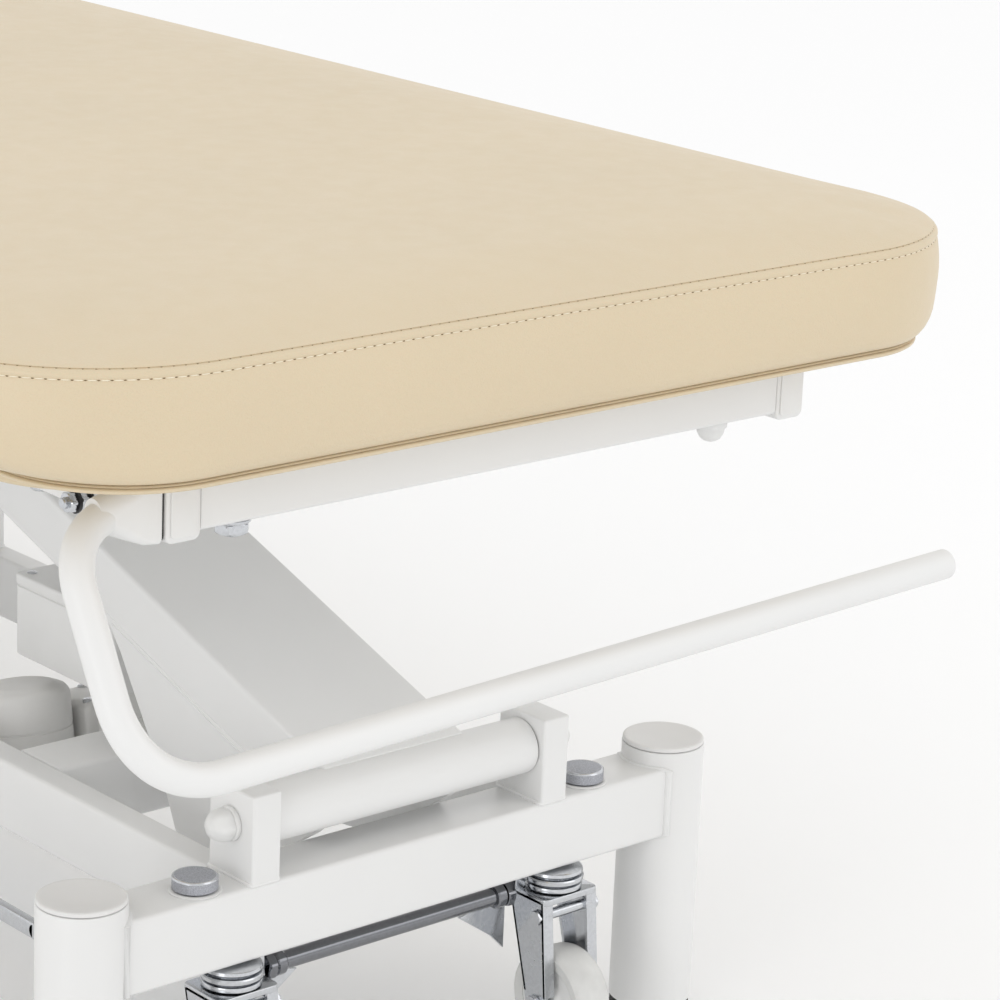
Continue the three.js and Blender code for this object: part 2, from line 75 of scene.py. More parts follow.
def span(node):
    lo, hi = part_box(node)
    return to_mm(lo), to_mm(hi)


def centre(node):
    lo, hi = span(node)
    return tuple((a + b) / 2 for a, b in zip(lo, hi))


def upright(node):
    """Centre, radius, bottom and top of a round upright node."""
    lo, hi = span(node)
    return (lo[0] + hi[0]) / 2, (lo[1] + hi[1]) / 2, (hi[0] - lo[0]) / 2, lo[2], hi[2]


def joint_record(name):
    return next(j for j in frame["joints"] if j["name"] == name)


def joint(name):
    return to_mm(joint_record(name)["pos_m"])


SIDES = {"left": -1, "right": 1}
ENDS = {"front": 1, "rear": -1}


# ---------- materials ----------
NOISE_RANGE = (0.3, 0.7)       # the part of a noise's range that its colour and roughness follow


class Finish:
    """A procedural material: layers of noise drive colour, roughness and bump."""

    def __init__(self, name, base, roughness, metallic=0.0):
        self.material = bpy.data.materials.new(name)
        self.material.use_nodes = True
        self.tree = self.material.node_tree
        self.shader = self.tree.nodes["Principled BSDF"]
        self.shader.inputs["Base Color"].default_value = (*base, 1)
        self.shader.inputs["Roughness"].default_value = roughness
        self.shader.inputs["Metallic"].default_value = metallic
        self.place = self.tree.nodes.new("ShaderNodeTexCoord").outputs["Object"]
        self.base, self.normal = base, None

    def node(self, kind, **inputs):
        made = self.tree.nodes.new(kind)
        for key, value in inputs.items():
            made.inputs[key].default_value = value
        return made

    def link(self, out, into):
        self.tree.links.new(out, into)

    def noise(self, scale, detail=3.0, stretch=None):
        made = self.node("ShaderNodeTexNoise", Scale=scale, Detail=detail)
        where = self.place
        if stretch:
            mapping = self.node("ShaderNodeMapping", Scale=stretch)
            self.link(where, mapping.inputs["Vector"])
            where = mapping.outputs["Vector"]
        self.link(where, made.inputs["Vector"])
        return made.outputs["Fac"]

    def cells(self, scale, feature="F1"):
        made = self.node("ShaderNodeTexVoronoi", Scale=scale)
        made.feature = feature
        self.link(self.place, made.inputs["Vector"])
        return made.outputs["Distance"]

    def remap(self, source, low, high, out_low, out_high):
        ends = {"From Min": low, "From Max": high, "To Min": out_low, "To Max": out_high}
        made = self.node("ShaderNodeMapRange", **ends)
        self.link(source, made.inputs["Value"])
        return made.outputs["Result"]

    def colour(self, source, dark, light):
        ramp = self.node("ShaderNodeValToRGB")
        for stop, position, tone in zip(ramp.color_ramp.elements, NOISE_RANGE, (dark, light)):
            stop.position, stop.color = position, (*tone, 1)
        self.link(source, ramp.inputs["Fac"])
        self.link(ramp.outputs["Color"], self.shader.inputs["Base Color"])
        return ramp

    def rough(self, source, low, high):
        self.link(self.remap(source, *NOISE_RANGE, low, high), self.shader.inputs["Roughness"])

    def bump(self, height, strength, distance):
        made = self.node("ShaderNodeBump", Strength=strength, Distance=distance)
        self.link(height, made.inputs["Height"])
        if self.normal:
            self.link(self.normal, made.inputs["Normal"])
        self.normal = made.outputs["Normal"]
        self.link(self.normal, self.shader.inputs["Normal"])


def around(base, amount):
    """A slightly darker and a slightly lighter tone of the base colour."""
    return tuple(c * (1 - amount) for c in base), tuple(min(1, c * (1 + amount)) for c in base)


def painted():
    f = Finish("white_powder_coat", (0.785, 0.785, 0.778), 0.4)
    f.colour(f.noise(9, 2), *around(f.base, 0.012))
    f.rough(f.noise(60), 0.34, 0.44)
    f.bump(f.noise(900, 2), 0.06, 0.0002)
    f.bump(f.noise(260, 2), 0.05, 0.0004)
    f.shader.inputs["Coat Weight"].default_value = 0.12
    f.shader.inputs["Coat Roughness"].default_value = 0.22
    return f.material


def moulded(name, base, roughness=0.45, grain=0.08):
    f = Finish(name, base, roughness)
    f.colour(f.noise(24, 2), *around(base, 0.02))
    f.rough(f.noise(90), roughness - 0.05, roughness + 0.06)
    f.bump(f.noise(1500, 2), grain, 0.0002)
    return f.material


def plated(name, base=(0.60, 0.615, 0.64), roughness=0.2):
    f = Finish(name, base, roughness, 1.0)
    f.colour(f.noise(520, 3), tuple(c * 0.93 for c in base), tuple(min(1, c * 1.05) for c in base))
    f.rough(f.noise(260, 3), roughness - 0.04, roughness + 0.08)
    f.bump(f.noise(1500, 3), 0.06, 0.0002)
    return f.material


def knurled():
    f = Finish("zinc_satin_disc", (0.38, 0.39, 0.43), 0.42, 0.45)
    f.colour(f.noise(1600, 4), (0.28, 0.29, 0.32), (0.49, 0.50, 0.54))
    f.rough(f.noise(900, 3), 0.38, 0.52)
    f.bump(f.noise(2200, 3), 0.4, 0.0003)
    return f.material


PORE_SCALE = 1050


def leather(name, base, grain=0.3):
    f = Finish(name, base, 0.47)
    ramp = f.colour(f.noise(7, 3), *around(base, 0.014))
    pores = f.node("ShaderNodeMix")
    pores.data_type, pores.blend_type = "RGBA", "MULTIPLY"
    f.link(f.remap(f.cells(PORE_SCALE), 0.0, 0.5, 0.10, 0.0), pores.inputs["Factor"])
    f.link(ramp.outputs["Color"], pores.inputs["A"])
    pores.inputs["B"].default_value = (0.72, 0.62, 0.48, 1)
    f.link(pores.outputs["Result"], f.shader.inputs["Base Color"])
    f.rough(f.noise(70, 3), 0.42, 0.53)
    f.bump(f.cells(PORE_SCALE, "SMOOTH_F1"), grain, 0.00035)
    f.bump(f.noise(420, 4), grain * 0.5, 0.0003)
    f.bump(f.noise(30, 2), 0.05, 0.002)
    f.shader.inputs["Sheen Weight"].default_value = 0.06
    f.shader.inputs["Sheen Roughness"].default_value = 0.5
    f.shader.inputs["Subsurface Weight"].default_value = 0.02
    return f.material


def rubbery(name, base, roughness):
    f = Finish(name, base, roughness)
    f.colour(f.noise(40, 3), *around(base, 0.12))
    f.rough(f.noise(200, 2), roughness - 0.08, roughness + 0.06)
    f.bump(f.noise(1300, 3), 0.22, 0.0003)
    return f.material


def woven(name, base):
    f = Finish(name, base, 0.9)
    f.colour(f.noise(300, 3, (1, 0.15, 1)), *around(base, 0.25))
    f.bump(f.noise(900, 2, (1, 0.1, 1)), 0.4, 0.0004)
    f.bump(f.noise(900, 2, (0.1, 1, 1)), 0.4, 0.0004)
    return f.material


def timber(name, base):
    f = Finish(name, base, 0.62)
    f.colour(f.noise(26, 6, (7, 0.5, 7)), tuple(c * 0.72 for c in base), tuple(c * 1.15 for c in base))
    f.rough(f.noise(90, 3), 0.55, 0.7)
    f.bump(f.noise(160, 4, (8, 0.6, 8)), 0.25, 0.0004)
    return f.material


LEATHER_TONE = (0.665, 0.555, 0.385)
MATERIALS = {
    "white_paint": painted(),
    "white_plastic": moulded("white_moulded_plastic", (0.77, 0.77, 0.76)),
    "cap_plastic": moulded("post_cap_plastic", (0.76, 0.755, 0.745), 0.5, 0.12),
    "zinc": plated("bright_zinc"),
    "chrome": plated("polished_rod", (0.22, 0.225, 0.24), 0.12),
    "zinc_dark": knurled(),
    "leatherette": leather("beige_leatherette", LEATHER_TONE),
    # a copy of the leather 3% darker: painted shade of the welt's grooves
    "welt": leather("beige_welt_shaded", tuple(c * 0.97 for c in LEATHER_TONE), 0.2),
    "thread": moulded("stitching_thread", (0.84, 0.77, 0.62), 0.7, 0.3),
    # dark brown for the needle holes: painted shade inside each hole
    "hole": moulded("needle_hole_shade", (0.19, 0.135, 0.07), 0.9, 0.1),
    # dark brown beads along the top seam: painted shade of the seam's groove
    "seam_shade_tone": moulded("seam_line_shade", (0.30, 0.22, 0.125), 0.8, 0.1),
    "rubber": rubbery("dark_rubber", (0.035, 0.035, 0.036), 0.8),
    "tyre": rubbery("grey_tyre", (0.66, 0.66, 0.645), 0.55),
    "motor_housing": moulded("grey_housing", (0.74, 0.735, 0.72), 0.5, 0.2),
    "black_plastic": moulded("black_plastic", (0.02, 0.02, 0.022), 0.45, 0.15),
    "board": timber("plywood", (0.55, 0.38, 0.2)),
    "cloth": woven("underside_cloth", (0.80, 0.80, 0.79)),
}


# ---------- shapes: each is (points, faces) in millimetres ----------
def loft(rings, closed=False):
    """Joins rings of points one to the next; an open loft gets a face at each end."""
    n = len(rings[0])
    points = [p for ring in rings for p in ring]
    faces = []
    count = len(rings) if closed else len(rings) - 1
    for i in range(count):
        a, b = i * n, ((i + 1) % len(rings)) * n
        faces += [(a + k, a + (k + 1) % n, b + (k + 1) % n, b + k) for k in range(n)]
    if not closed:
        faces.append(tuple(range(n)))
        faces.append(tuple(range((len(rings) - 1) * n, len(rings) * n)))
    return points, faces


def on_axis(axis, a, u, v):
    """The point at a along the axis and at u, v across it."""
    return {"x": (a, u, v), "y": (u, a, v), "z": (u, v, a)}[axis]


def rounded(u0, u1, v0, v1, r, steps=6):
    """Outline of a rounded rectangle."""
    r = max(0.05, min(r, (u1 - u0) / 2 - 0.01, (v1 - v0) / 2 - 0.01))
    corners = ((u1 - r, v1 - r, 0), (u0 + r, v1 - r, 90), (u0 + r, v0 + r, 180), (u1 - r, v0 + r, 270))
    out = []
    for cu, cv, start in corners:
        for k in range(steps + 1):
            t = math.radians(start + 90 * k / steps)
            out.append((cu + r * math.cos(t), cv + r * math.sin(t)))
    return out


def bar(axis, lo, hi, r=3.0, end=0.8):
    """Straight bar or tube of rounded rectangular section with softened ends."""
    i = "xyz".index(axis)
    j, k = [n for n in range(3) if n != i]
    rings = []
    for t in range(4):
        angle = math.radians(30 * t)
        rings.append((lo[i] + end * (1 - math.cos(angle)), end * (1 - math.sin(angle))))
    rings += [(lo[i] + hi[i] - a, inset) for a, inset in reversed(rings)]
    return loft([[on_axis(axis, a, u, v) for u, v in
                  rounded(lo[j] + s, hi[j] - s, lo[k] + s, hi[k] - s, r - s * 0.5)] for a, s in rings])


def lathe(axis, at, profile, n=64, facets=0, depth=0.0):
    """Turned piece; with facets its sides are slightly flattened."""
    rings = []
    for r, h in profile:
        ring = []
        for k in range(n):
            t = 2 * math.pi * k / n
            swell = 1 + depth * math.cos(facets * t) if facets else 1
            ring.append(on_axis(axis, h, at[0] + max(r, 0.02) * swell * math.cos(t),
                                at[1] + max(r, 0.02) * swell * math.sin(t)))
        rings.append(ring)
    return loft(rings)


def rod(axis, at, radius, a0, a1, n=32):
    """Plain round bar between two places along an axis."""
    return lathe(axis, at, [(0, a0), (radius, a0), (radius, a1), (0, a1)], n)


def hoop(axis, at, section, n=64):
    """A closed section, given as radius and place along the axis, carried once round it."""
    rings = []
    for k in range(n):
        t = k * math.pi / (n / 2)
        rings.append([on_axis(axis, h, at[0] + r * math.cos(t), at[1] + r * math.sin(t)) for r, h in section])
    return loft(rings, closed=True)


def hex_bar(axis, at, radius, a0, a1, turn, chamfer):
    """Hexagon head or nut, its corners cut by a cone at both ends."""
    sides, n = 6, 48
    inner = radius * math.cos(math.pi / sides)
    rings = []
    for a, limit in ((a0, inner * 0.98), (a0 + chamfer, radius), (a1 - chamfer, radius), (a1, inner * 0.98)):
        ring = []
        for k in range(n):
            t = 2 * math.pi * k / n
            local = (t + turn) % (2 * math.pi / sides) - math.pi / sides
            r = min(inner / math.cos(local), limit)
            ring.append(on_axis(axis, a, at[0] + r * math.cos(t), at[1] + r * math.sin(t)))
        rings.append(ring)
    return loft(rings)


def plate(axis, a0, a1, outline):
    """Flat plate of an outline, between two places along the axis."""
    return loft([[on_axis(axis, a, u, v) for u, v in outline] for a in (a0, a1)])


def sweep(path, radius, n=20, closed=False):
    """Round bar along a list of points; radius may change along it."""
    pts = [Vector(p) for p in path]
    radii = radius if isinstance(radius, (list, tuple)) else [radius] * len(pts)
    side = None
    rings = []
    for i, p in enumerate(pts):
        before = pts[i - 1] if i or closed else pts[0]
        after = pts[(i + 1) % len(pts)] if i + 1 < len(pts) or closed else pts[-1]
        along = (after - before).normalized()
        if side is None:
            side = along.orthogonal().normalized()
        side = (side - along * side.dot(along)).normalized()
        other = along.cross(side)
        rings.append([tuple(p + (side * math.cos(2 * math.pi * k / n) + other * math.sin(2 * math.pi * k / n))
                            * radii[i]) for k in range(n)])
    return loft(rings, closed)


def tilted(shape, angle, y, z):
    """The shape turned about an axis along x through (y, z)."""
    c, s = math.cos(angle), math.sin(angle)
    points = [(u, y + (v - y) * c - (w - z) * s, z + (v - y) * s + (w - z) * c) for u, v, w in shape[0]]
    return points, shape[1]


def moved(shape, dx=0.0, dy=0.0, dz=0.0):
    return [(p[0] + dx, p[1] + dy, p[2] + dz) for p in shape[0]], shape[1]


def arc(cu, cv, r, start, stop, steps):
    return [(cu + r * math.cos(math.radians(start + (stop - start) * k / steps)),
             cv + r * math.sin(math.radians(start + (stop - start) * k / steps))) for k in range(steps + 1)]


def added(obj):
    bpy.context.scene.collection.objects.link(obj)
    return obj


def mesh_object(name, points, faces):
    """An object in the scene whose faces all point outwards."""
    mesh = bpy.data.meshes.new(name)
    mesh.from_pydata([to_row(p) for p in points], [], faces)
    work = bmesh.new()
    work.from_mesh(mesh)
    bmesh.ops.recalc_face_normals(work, faces=work.faces)
    work.to_mesh(mesh)
    work.free()
    return added(bpy.data.objects.new(name, mesh))


def piece(name, shapes, finish, body, stands_for=(), bevel=0.0, sharp=38):
    """Joins the shapes into one mesh object that rides on a body."""
    points, faces = [], []
    for p, f in shapes:
        faces += [tuple(i + len(points) for i in face) for face in f]
        points += p
    obj = mesh_object(name, points, faces)
    obj.data.shade_smooth()
    obj.data.set_sharp_from_angle(angle=math.radians(sharp))
    obj.data.materials.append(MATERIALS[finish])
    if bevel:
        soft = obj.modifiers.new("softened_edges", "BEVEL")
        soft.width, soft.segments = bevel / 1000, 3
        soft.limit_method, soft.angle_limit = "ANGLE", math.radians(35)
        soft.harden_normals = True
    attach(obj, body)
    if stands_for:
        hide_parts(*([stands_for] if isinstance(stands_for, str) else stands_for))
    return obj


# ---------- base ----------
TUBE_CORNER = 3.2              # radius of the rounded corners of the square tubes
SIDE_BEAM_WIDTH = 20
CASTOR_LUG_X, CASTOR_LUG_RADIUS = 104, 14


def post_profile(r, z0, z1):
    return [(0, z0), (r - 1.2, z0), (r, z0 + 1), (r, z1 - 0.7), (r - 0.25, z1 - 0.2), (r - 0.8, z1),
            (r - 3, z1), (r - 3, z1 - 5), (0, z1 - 5)]


def cap_profile(r, z0, z1):
    rim = [(r - 1.2 + u, z1 - 1.2 + v) for u, v in arc(0, 0, 1.2, 0, 90, 5)]
    return [(0, z0 - 4), (r - 2.6, z0 - 4), (r - 2.6, z0 + 0.5), (r - 0.3, z0 + 0.5), (r, z0 + 0.8), *rim,
            (r - 3.2, z1), (r - 3.8, z1 - 0.2), (0, z1 - 0.2)]


def foot_profile(r, top):
    return [(0, top), (r - 2, top), (r - 0.6, top - 1.6), (r - 0.6, top - 4), (r - 1.6, top - 4.6),
            (r - 1.6, top - 5.6), (r, top - 6.4), (r + 0.9, 3), (r + 0.6, 0.9), (r - 0.4, 0), (r - 8, 0),
            (r - 9, 1.2), (0, 1.2)]


for end in ENDS:
    lo, hi = span(f"{end}_end_beam")
    piece(f"{end}_beam_tube", [bar("x", (lo[0] - 2, lo[1], lo[2]), (hi[0] + 2, hi[1], hi[2]), TUBE_CORNER)],
          "white_paint", "base", f"{end}_end_beam")
    for side, s in SIDES.items():
        px, py, r, low, top = upright(f"post_{end}_{side}")
        piece(f"round_post_{end}_{side}", [lathe("z", (px, py), post_profile(r, low, top), 96)],
              "white_paint", "base", f"post_{end}_{side}")
        low, top = upright(f"post_cap_{end}_{side}")[3:]
        piece(f"post_end_cap_{end}_{side}", [lathe("z", (px, py), cap_profile(r - 0.4, low - 0.3, top), 96)],
              "cap_plastic", "base", f"post_cap_{end}_{side}")
        foot = foot_profile(r, span(f"rubber_foot_{end}_{side}")[1][2])
        piece(f"ribbed_foot_{end}_{side}", [lathe("z", (px, py), foot)], "rubber", "base",
              f"rubber_foot_{end}_{side}")
        # painted weld that runs round the beam where it meets the post
        ring = []
        for z, order in ((hi[2] - 1.6, 1), (lo[2] + 1.6, -1)):
            a0 = math.atan2(lo[1] + 1.5 - py, -s * math.sqrt(r * r - (lo[1] - py) ** 2))
            a1 = math.atan2(hi[1] - 1.5 - py, -s * math.sqrt(r * r - (hi[1] - py) ** 2))
            if s > 0:
                a0, a1 = a0 % (2 * math.pi), a1 % (2 * math.pi)
            turns = [a0 + (a1 - a0) * k / 12 for k in range(13)]
            ring += [(px + r * math.cos(t), py + r * math.sin(t), z) for t in turns[::order]]
        piece(f"post_weld_{end}_{side}", [sweep(ring, 2.6, 12, closed=True)], "white_paint", "base")
        # zinc head on the beam, with its bright edge and the white ring it sits in
        *at, r, low, top = upright(f"screw_head_{end}_{side}")
        disc = [(0, low), (r - 3, low), (r - 3, low + 1.2), (r - 0.5, low + 1.2), (r, low + 1.6),
                (r, top - 1.0), (r - 1.1, top - 0.1), (r - 1.5, top), (0, top)]
        edge = [(r - 1.6, top - 0.1), (r - 0.9, top + 0.05), (r - 0.1, top - 0.5), (r + 0.15, top - 1.2),
                (r - 0.4, top - 1.4)]
        seat = [(r - 2, low - 0.25), (r + 2.0, low - 0.25), (r + 2.2, low + 0.2), (r + 1.4, low + 0.7),
                (r + 0.4, low + 0.7), (r - 2, low + 0.3)]
        piece(f"stem_head_rim_{end}_{side}", [hoop("z", at, edge)], "zinc", "base")
        piece(f"castor_stem_head_{end}_{side}", [lathe("z", at, disc, 72)], "zinc_dark", "base",
              f"screw_head_{end}_{side}")
        piece(f"stem_ring_{end}_{side}", [hoop("z", at, seat)], "white_plastic", "base")

for side, s in SIDES.items():
    lo, hi = span(f"side_beam_{side}")
    x0 = hi[0] - SIDE_BEAM_WIDTH if s > 0 else lo[0]
    x1 = hi[0] if s > 0 else lo[0] + SIDE_BEAM_WIDTH
    under = span("front_end_beam")[0][2]
    parts = [bar("y", (x0, lo[1] - 1, under), (x1, hi[1] + 1, hi[2]), TUBE_CORNER)]
    for end in ENDS:
        y, z = joint(f"castor_lift_{end}_tilt")[1:]
        x, r = s * CASTOR_LUG_X, CASTOR_LUG_RADIUS
        outline = [(y - r, under + 4), (y - r, z), *arc(y, z, r, 180, 360, 12), (y + r, under + 4)]
        parts.append(plate("x", x - 4, x + 4, outline))
        parts.append(lathe("x", (y, z), [(9, x - 6), (9, x + 6)], 32))
    piece(f"side_tube_{side}", parts, "white_paint", "base", f"side_beam_{side}")

lo, hi = span("actuator_cross_member")
_, CY, CZ = joint("actuator_swing")    # the clevis that the actuator hangs on
member_back = CY - 26
parts = [bar("x", (lo[0] - 1, lo[1], lo[2]), (hi[0] + 1, member_back, hi[2]), TUBE_CORNER)]
root = member_back - 4
for s in SIDES.values():
    outline = [(root, CZ - 12), (CY, CZ - 12), *arc(CY, CZ, 12, -90, 90, 12), (root, CZ + 12)]
    parts.append(plate("x", s * 11.5 - 2.5, s * 11.5 + 2.5, outline))
piece("cross_member_tube", parts, "white_paint", "base", "actuator_cross_member")
pin = [(0, -18), (7, -18), (7.6, -17.4), (7.6, -15.2), (5, -15), (5, 16), (4.4, 17.4), (0, 17.4)]
piece("clevis_pin", [lathe("x", (CY, CZ), pin, 32)], "zinc", "base")

lo, hi = span("control_box")
lid = lo[2] + (hi[2] - lo[2]) * 0.86
piece("control_box_shell", [
    bar("z", lo, (hi[0], hi[1], lid - 0.5), 5, 1.2),
    bar("z", (lo[0] + 1, lo[1] + 1, lid - 2), (hi[0] - 1, hi[1] - 1, lid + 2), 4, 0.3),
    bar("z", (lo[0] - 0.4, lo[1] - 0.4, lid + 0.3), (hi[0] + 0.4, hi[1] + 0.4, hi[2]), 5, 1.6),
], "white_plastic", "base", "control_box", sharp=30)
top = hi[2]
screw = [(0, top - 0.4), (3.2, top - 0.4), (3.2, top + 0.3), (2.2, top + 0.9), (0, top + 1.0)]
piece("control_box_screws", [lathe("z", (x, y), screw, 20) for x in (lo[0] + 8, hi[0] - 8)
                             for y in (lo[1] + 8, hi[1] - 8)], "zinc", "base")


# ---------- lift ----------
ARM_HALF_WIDTH, ARM_ABOVE, ARM_BELOW = 51.0, 16.6, 21.4
LEVER_BACK, LEVER_DROP = 30, 115    # the actuator's pin, behind and below the rear arm's pivot


def acorn(x, s, y, z):
    """Domed cover over the nut on an axle end, faintly six-sided."""
    steps = [(9.8, 0.2), (10.1, 0.9), (10.1, 2.6), (9.5, 3.3), (9.2, 3.6), (9.3, 6.0), (9.0, 8.2),
             (8.4, 10.2), (7.3, 12.2), (5.9, 13.7), (4.2, 14.8), (2.2, 15.4), (0, 15.6)]
    steps = [(r, x + s * h) for r, h in steps]
    base = lathe("x", (y, z), [(0, x - s * 0.4), *steps[:4], (0, x + s * 3.3)], 48)
    dome = lathe("x", (y, z), [(0, x + s * 2), *steps[4:]], 48, 6, 0.035)
    return [base, dome]


for end in ENDS:
    for level, body in (("lower", "base"), ("upper", "couch_top")):
        node = f"{end}_{level}_axle"
        _, y, z = centre(node)
        block = span(f"pivot_bracket_{end}_right")
        face = block[1][0]
        shapes = [rod("x", (y, z), 6, -face + 1, face - 1)]
        for s in SIDES.values():
            shapes += acorn(s * face, s, y, z)
        piece(f"{node}_with_domes", shapes, "white_plastic", body, node, sharp=50)
        tube = span(f"{end}_pivot_tube")
        r, half = (tube[1][2] - tube[0][2]) / 2, tube[1][0]
        for side, s in SIDES.items():
            washer = rod("x", (y, z), r - 1.1, s * (half + 0.1), s * (block[0][0] - 0.1), 48)
            piece(f"slide_washer_{end}_{level}_{side}", [washer], "black_plastic", body)
    for side, s in SIDES.items():
        lo, hi = span(f"pivot_bracket_{end}_{side}")
        piece(f"bracket_block_{end}_{side}", [bar("z", (lo[0], lo[1], lo[2] - 1), hi, 1.6, 1.4)],
              "white_paint", "base", f"pivot_bracket_{end}_{side}")
        foot = rounded(lo[0] + 0.2, hi[0] - 0.2, lo[1] + 1.2, hi[1] - 0.2, 1.5, 3)
        weld = sweep([(u, v, lo[2] + 0.1) for u, v in foot], 1.5, 8, closed=True)
        piece(f"bracket_weld_{end}_{side}", [weld], "white_paint", "base")
    body = f"{end}_arm"
    _, y0, z0 = centre(f"{end}_lower_axle")
    _, y1, z1 = centre(f"{end}_upper_axle")
    lean, length = math.atan2(z1 - z0, y1 - y0), math.hypot(y1 - y0, z1 - z0)
    alo, ahi = span(f"{end}_pivot_tube")
    r, half = (ahi[2] - alo[2]) / 2, ahi[0]
    tube_profile = [(5, -half), (r - 0.7, -half), (r - 0.15, -half + 0.25), (r, -half + 0.8), (r, half - 0.8),
                    (r - 0.15, half - 0.25), (r - 0.7, half), (5, half)]
    piece(f"{end}_pivot_sleeve", [lathe("x", (y0, z0), tube_profile, 80)], "white_paint", body,
          f"{end}_pivot_tube")
    wide = ARM_HALF_WIDTH
    box = bar("y", (-wide, y0 + 5, z0 - ARM_BELOW), (wide, y0 + length - 3, z0 + ARM_ABOVE), 2.6, 1.0)
    shapes = [tilted(box, lean, y0, z0), lathe("x", (y1, z1), tube_profile, 80)]
    outline = [(y0 - 6, z0 - 12), (y0 + 8, z0 - 24), (y0 + 66, z0 - 64), (y0 + 72, z0 - 67.5),
                      (y0 + 124, z0 - 74), (y0 + 132, z0 - 71), (y0 + 138, z0 - 64), (y0 + 152, z0 - 35),
                      (y0 + 176, z0 + 1), (y0 + 186, z0 + 16), (y0 + 196, z0 + 31), (y0 + 207, z0 + 44),
                      (y0 + 217, z0 + 53), (y0 + 120, z0 + 20), (y0 + 20, z0 - 10)]
    for s in SIDES.values():
        shapes.append(plate("x", s * wide - s * 5.6, s * wide + s * 0.35, outline))
    if end == "rear":
        pin = (y0 + LEVER_BACK, z0 - LEVER_DROP)
        for s in SIDES.values():
            lever = [(pin[0] - 15, pin[1]), *arc(pin[0], pin[1], 15, 180, 360, 14), (pin[0] + 15, pin[1]),
                     (y0 + 60, z0 + 4), (y0 - 8, z0 - 8)]
            shapes.append(plate("x", s * 12, s * 18, lever))
    piece(f"{end}_arm_weldment", shapes, "white_paint", body, f"{end}_lift_arm", bevel=0.9)
    for side, s in SIDES.items():
        low = ARM_BELOW - 0.2
        along = [(s * (wide + 0.2), y0 + d * math.cos(lean) + low * math.sin(lean),
                  z0 + d * math.sin(lean) - low * math.cos(lean)) for d in range(34, 214, 6)]
        piece(f"{end}_gusset_weld_{side}", [sweep(along, 0.7, 8)], "white_paint", body)
    if end == "rear":
        turned = [(0, -24), (7, -24), (7.6, -23.4), (7.6, -21), (5, -20.8), (5, 22), (4.4, 23.2), (0, 23.2)]
        piece("lever_pin", [lathe("x", pin, turned, 32)], "zinc", body)

# ---------- linear actuator ----------
extend = joint_record("actuator_extend")["axis"]
tip = math.atan2(extend[2], extend[1])


def along_actuator(shape):
    return tilted(moved(shape, 0, CY, CZ), tip, CY, CZ)


pivot = centre("rear_lower_axle")
reach = math.hypot(pivot[1] + LEVER_BACK - CY, pivot[2] - LEVER_DROP - CZ)
piece("gearcase_shell", [along_actuator(q) for q in (
    bar("y", (-16, 22, -30), (18, 72, 22), 6, 3),
    bar("y", (-60, 28, -44), (10, 72, -22), 6, 3),
    lathe("x", (0, 0), [(5.3, -8), (12, -8), (12, 8), (5.3, 8)], 40),
    bar("y", (-8, 6, -11), (8, 30, 11), 2, 1),
    lathe("y", (0, 0), [(8.6, 66), (18, 66), (18, 296), (20, 297), (20, 304), (19.2, 305), (8.6, 305)], 56),
    lathe("y", (0, 0), [(12, 80), (18.9, 80), (18.9, 92), (12, 92)], 56),
)], "motor_housing", "actuator_body", "actuator_gearcase", bevel=0.6)
motor = [(0, 38.5), (9, 38.5), (20, 38.2), (22.2, 37.6), (23.6, 36.6), (26.2, 36), (28.4, 34.8), (30.2, 32.6),
         (31, 29.6), (31, 12), (30.4, 11.6), (30.4, 10.4), (31, 10), (31, -20.5), (30, -21.5), (0, -21.5)]
piece("motor_can", [along_actuator(lathe("z", (-47, 47), motor, 72))], "motor_housing", "actuator_body",
      "actuator_motor")
screw = [(0, 20), (3.4, 20), (3.4, 23), (2.8, 23.6), (1.4, 23.6), (1.2, 22.6), (0, 22.6)]
piece("actuator_screws", [along_actuator(lathe("z", (x, y), screw, 24)) for x in (-10, 12) for y in (28, 66)],
      "zinc", "actuator_body")
shank = [(0, 112), (8, 112), (8, reach - 14), (0, reach - 13)]
eye = [(9.4, -9), (14.4, -9), (15, -8.4), (15, 8.4), (14.4, 9), (9.4, 9)]
piston = [lathe("y", (0, 0), shank, 40), hoop("x", (reach, 0), eye, 48)]
piece("piston_rod", [along_actuator(q) for q in piston], "zinc", "actuator_piston", "actuator_rod")

# ---------- upper frame ----------
RAIL_SCREW_X, RAIL_SCREWS_Y = 213.4, (60, 420, 900, 1380, 1640)

for side, s in SIDES.items():
    lo, hi = span(f"frame_rail_{side}")
    piece(f"rail_tube_{side}", [bar("y", (lo[0], lo[1], lo[2]), (hi[0], hi[1], hi[2]), 4.2, 1.2)],
          "white_paint", "couch_top", f"frame_rail_{side}")
    for place, y0, y1 in (("front", lo[1] - 0.9, lo[1]), ("back", hi[1], hi[1] + 0.9)):
        plug = bar("y", (lo[0] + 2.4, y0, lo[2] + 2.6), (hi[0] - 2.4, y1, hi[2] - 2.6), 2.4, 0.35)
        piece(f"rail_plug_{side}_{place}", [plug], "white_paint", "couch_top")
for node, made in (("roll_socket_tube", "front_cross_tube"), ("rear_frame_tube", "back_cross_tube")):
    lo, hi = span(node)
    piece(made, [bar("x", lo, hi, 2.8, 0.5)], "white_paint", "couch_top", node)
for end in ENDS:
    lo, hi = span(f"{end}_arm_crossbar")
    top, (_, y, z) = span("roll_socket_tube"), centre(f"{end}_upper_axle")
    block = span(f"pivot_bracket_{end}_right")
    shapes = [bar("x", (lo[0], y - 20, top[0][2]), (hi[0], y + 20, top[1][2]), 2.8, 0.5)]
    for s in SIDES.values():
        a, b = sorted((s * block[0][0], s * block[1][0]))
        hanger = [(y - 19, top[1][2] - 12), (y - 19, z - 4), *arc(y - 3, z - 4, 16, 180, 270, 6),
                  *arc(y + 3, z - 4, 16, 270, 360, 6), (y + 19, top[1][2] - 12)]
        shapes.append(plate("x", a, b, hanger))
    piece(f"{end}_hanger_bar", shapes, "white_paint", "couch_top", f"{end}_arm_crossbar", bevel=1.0)

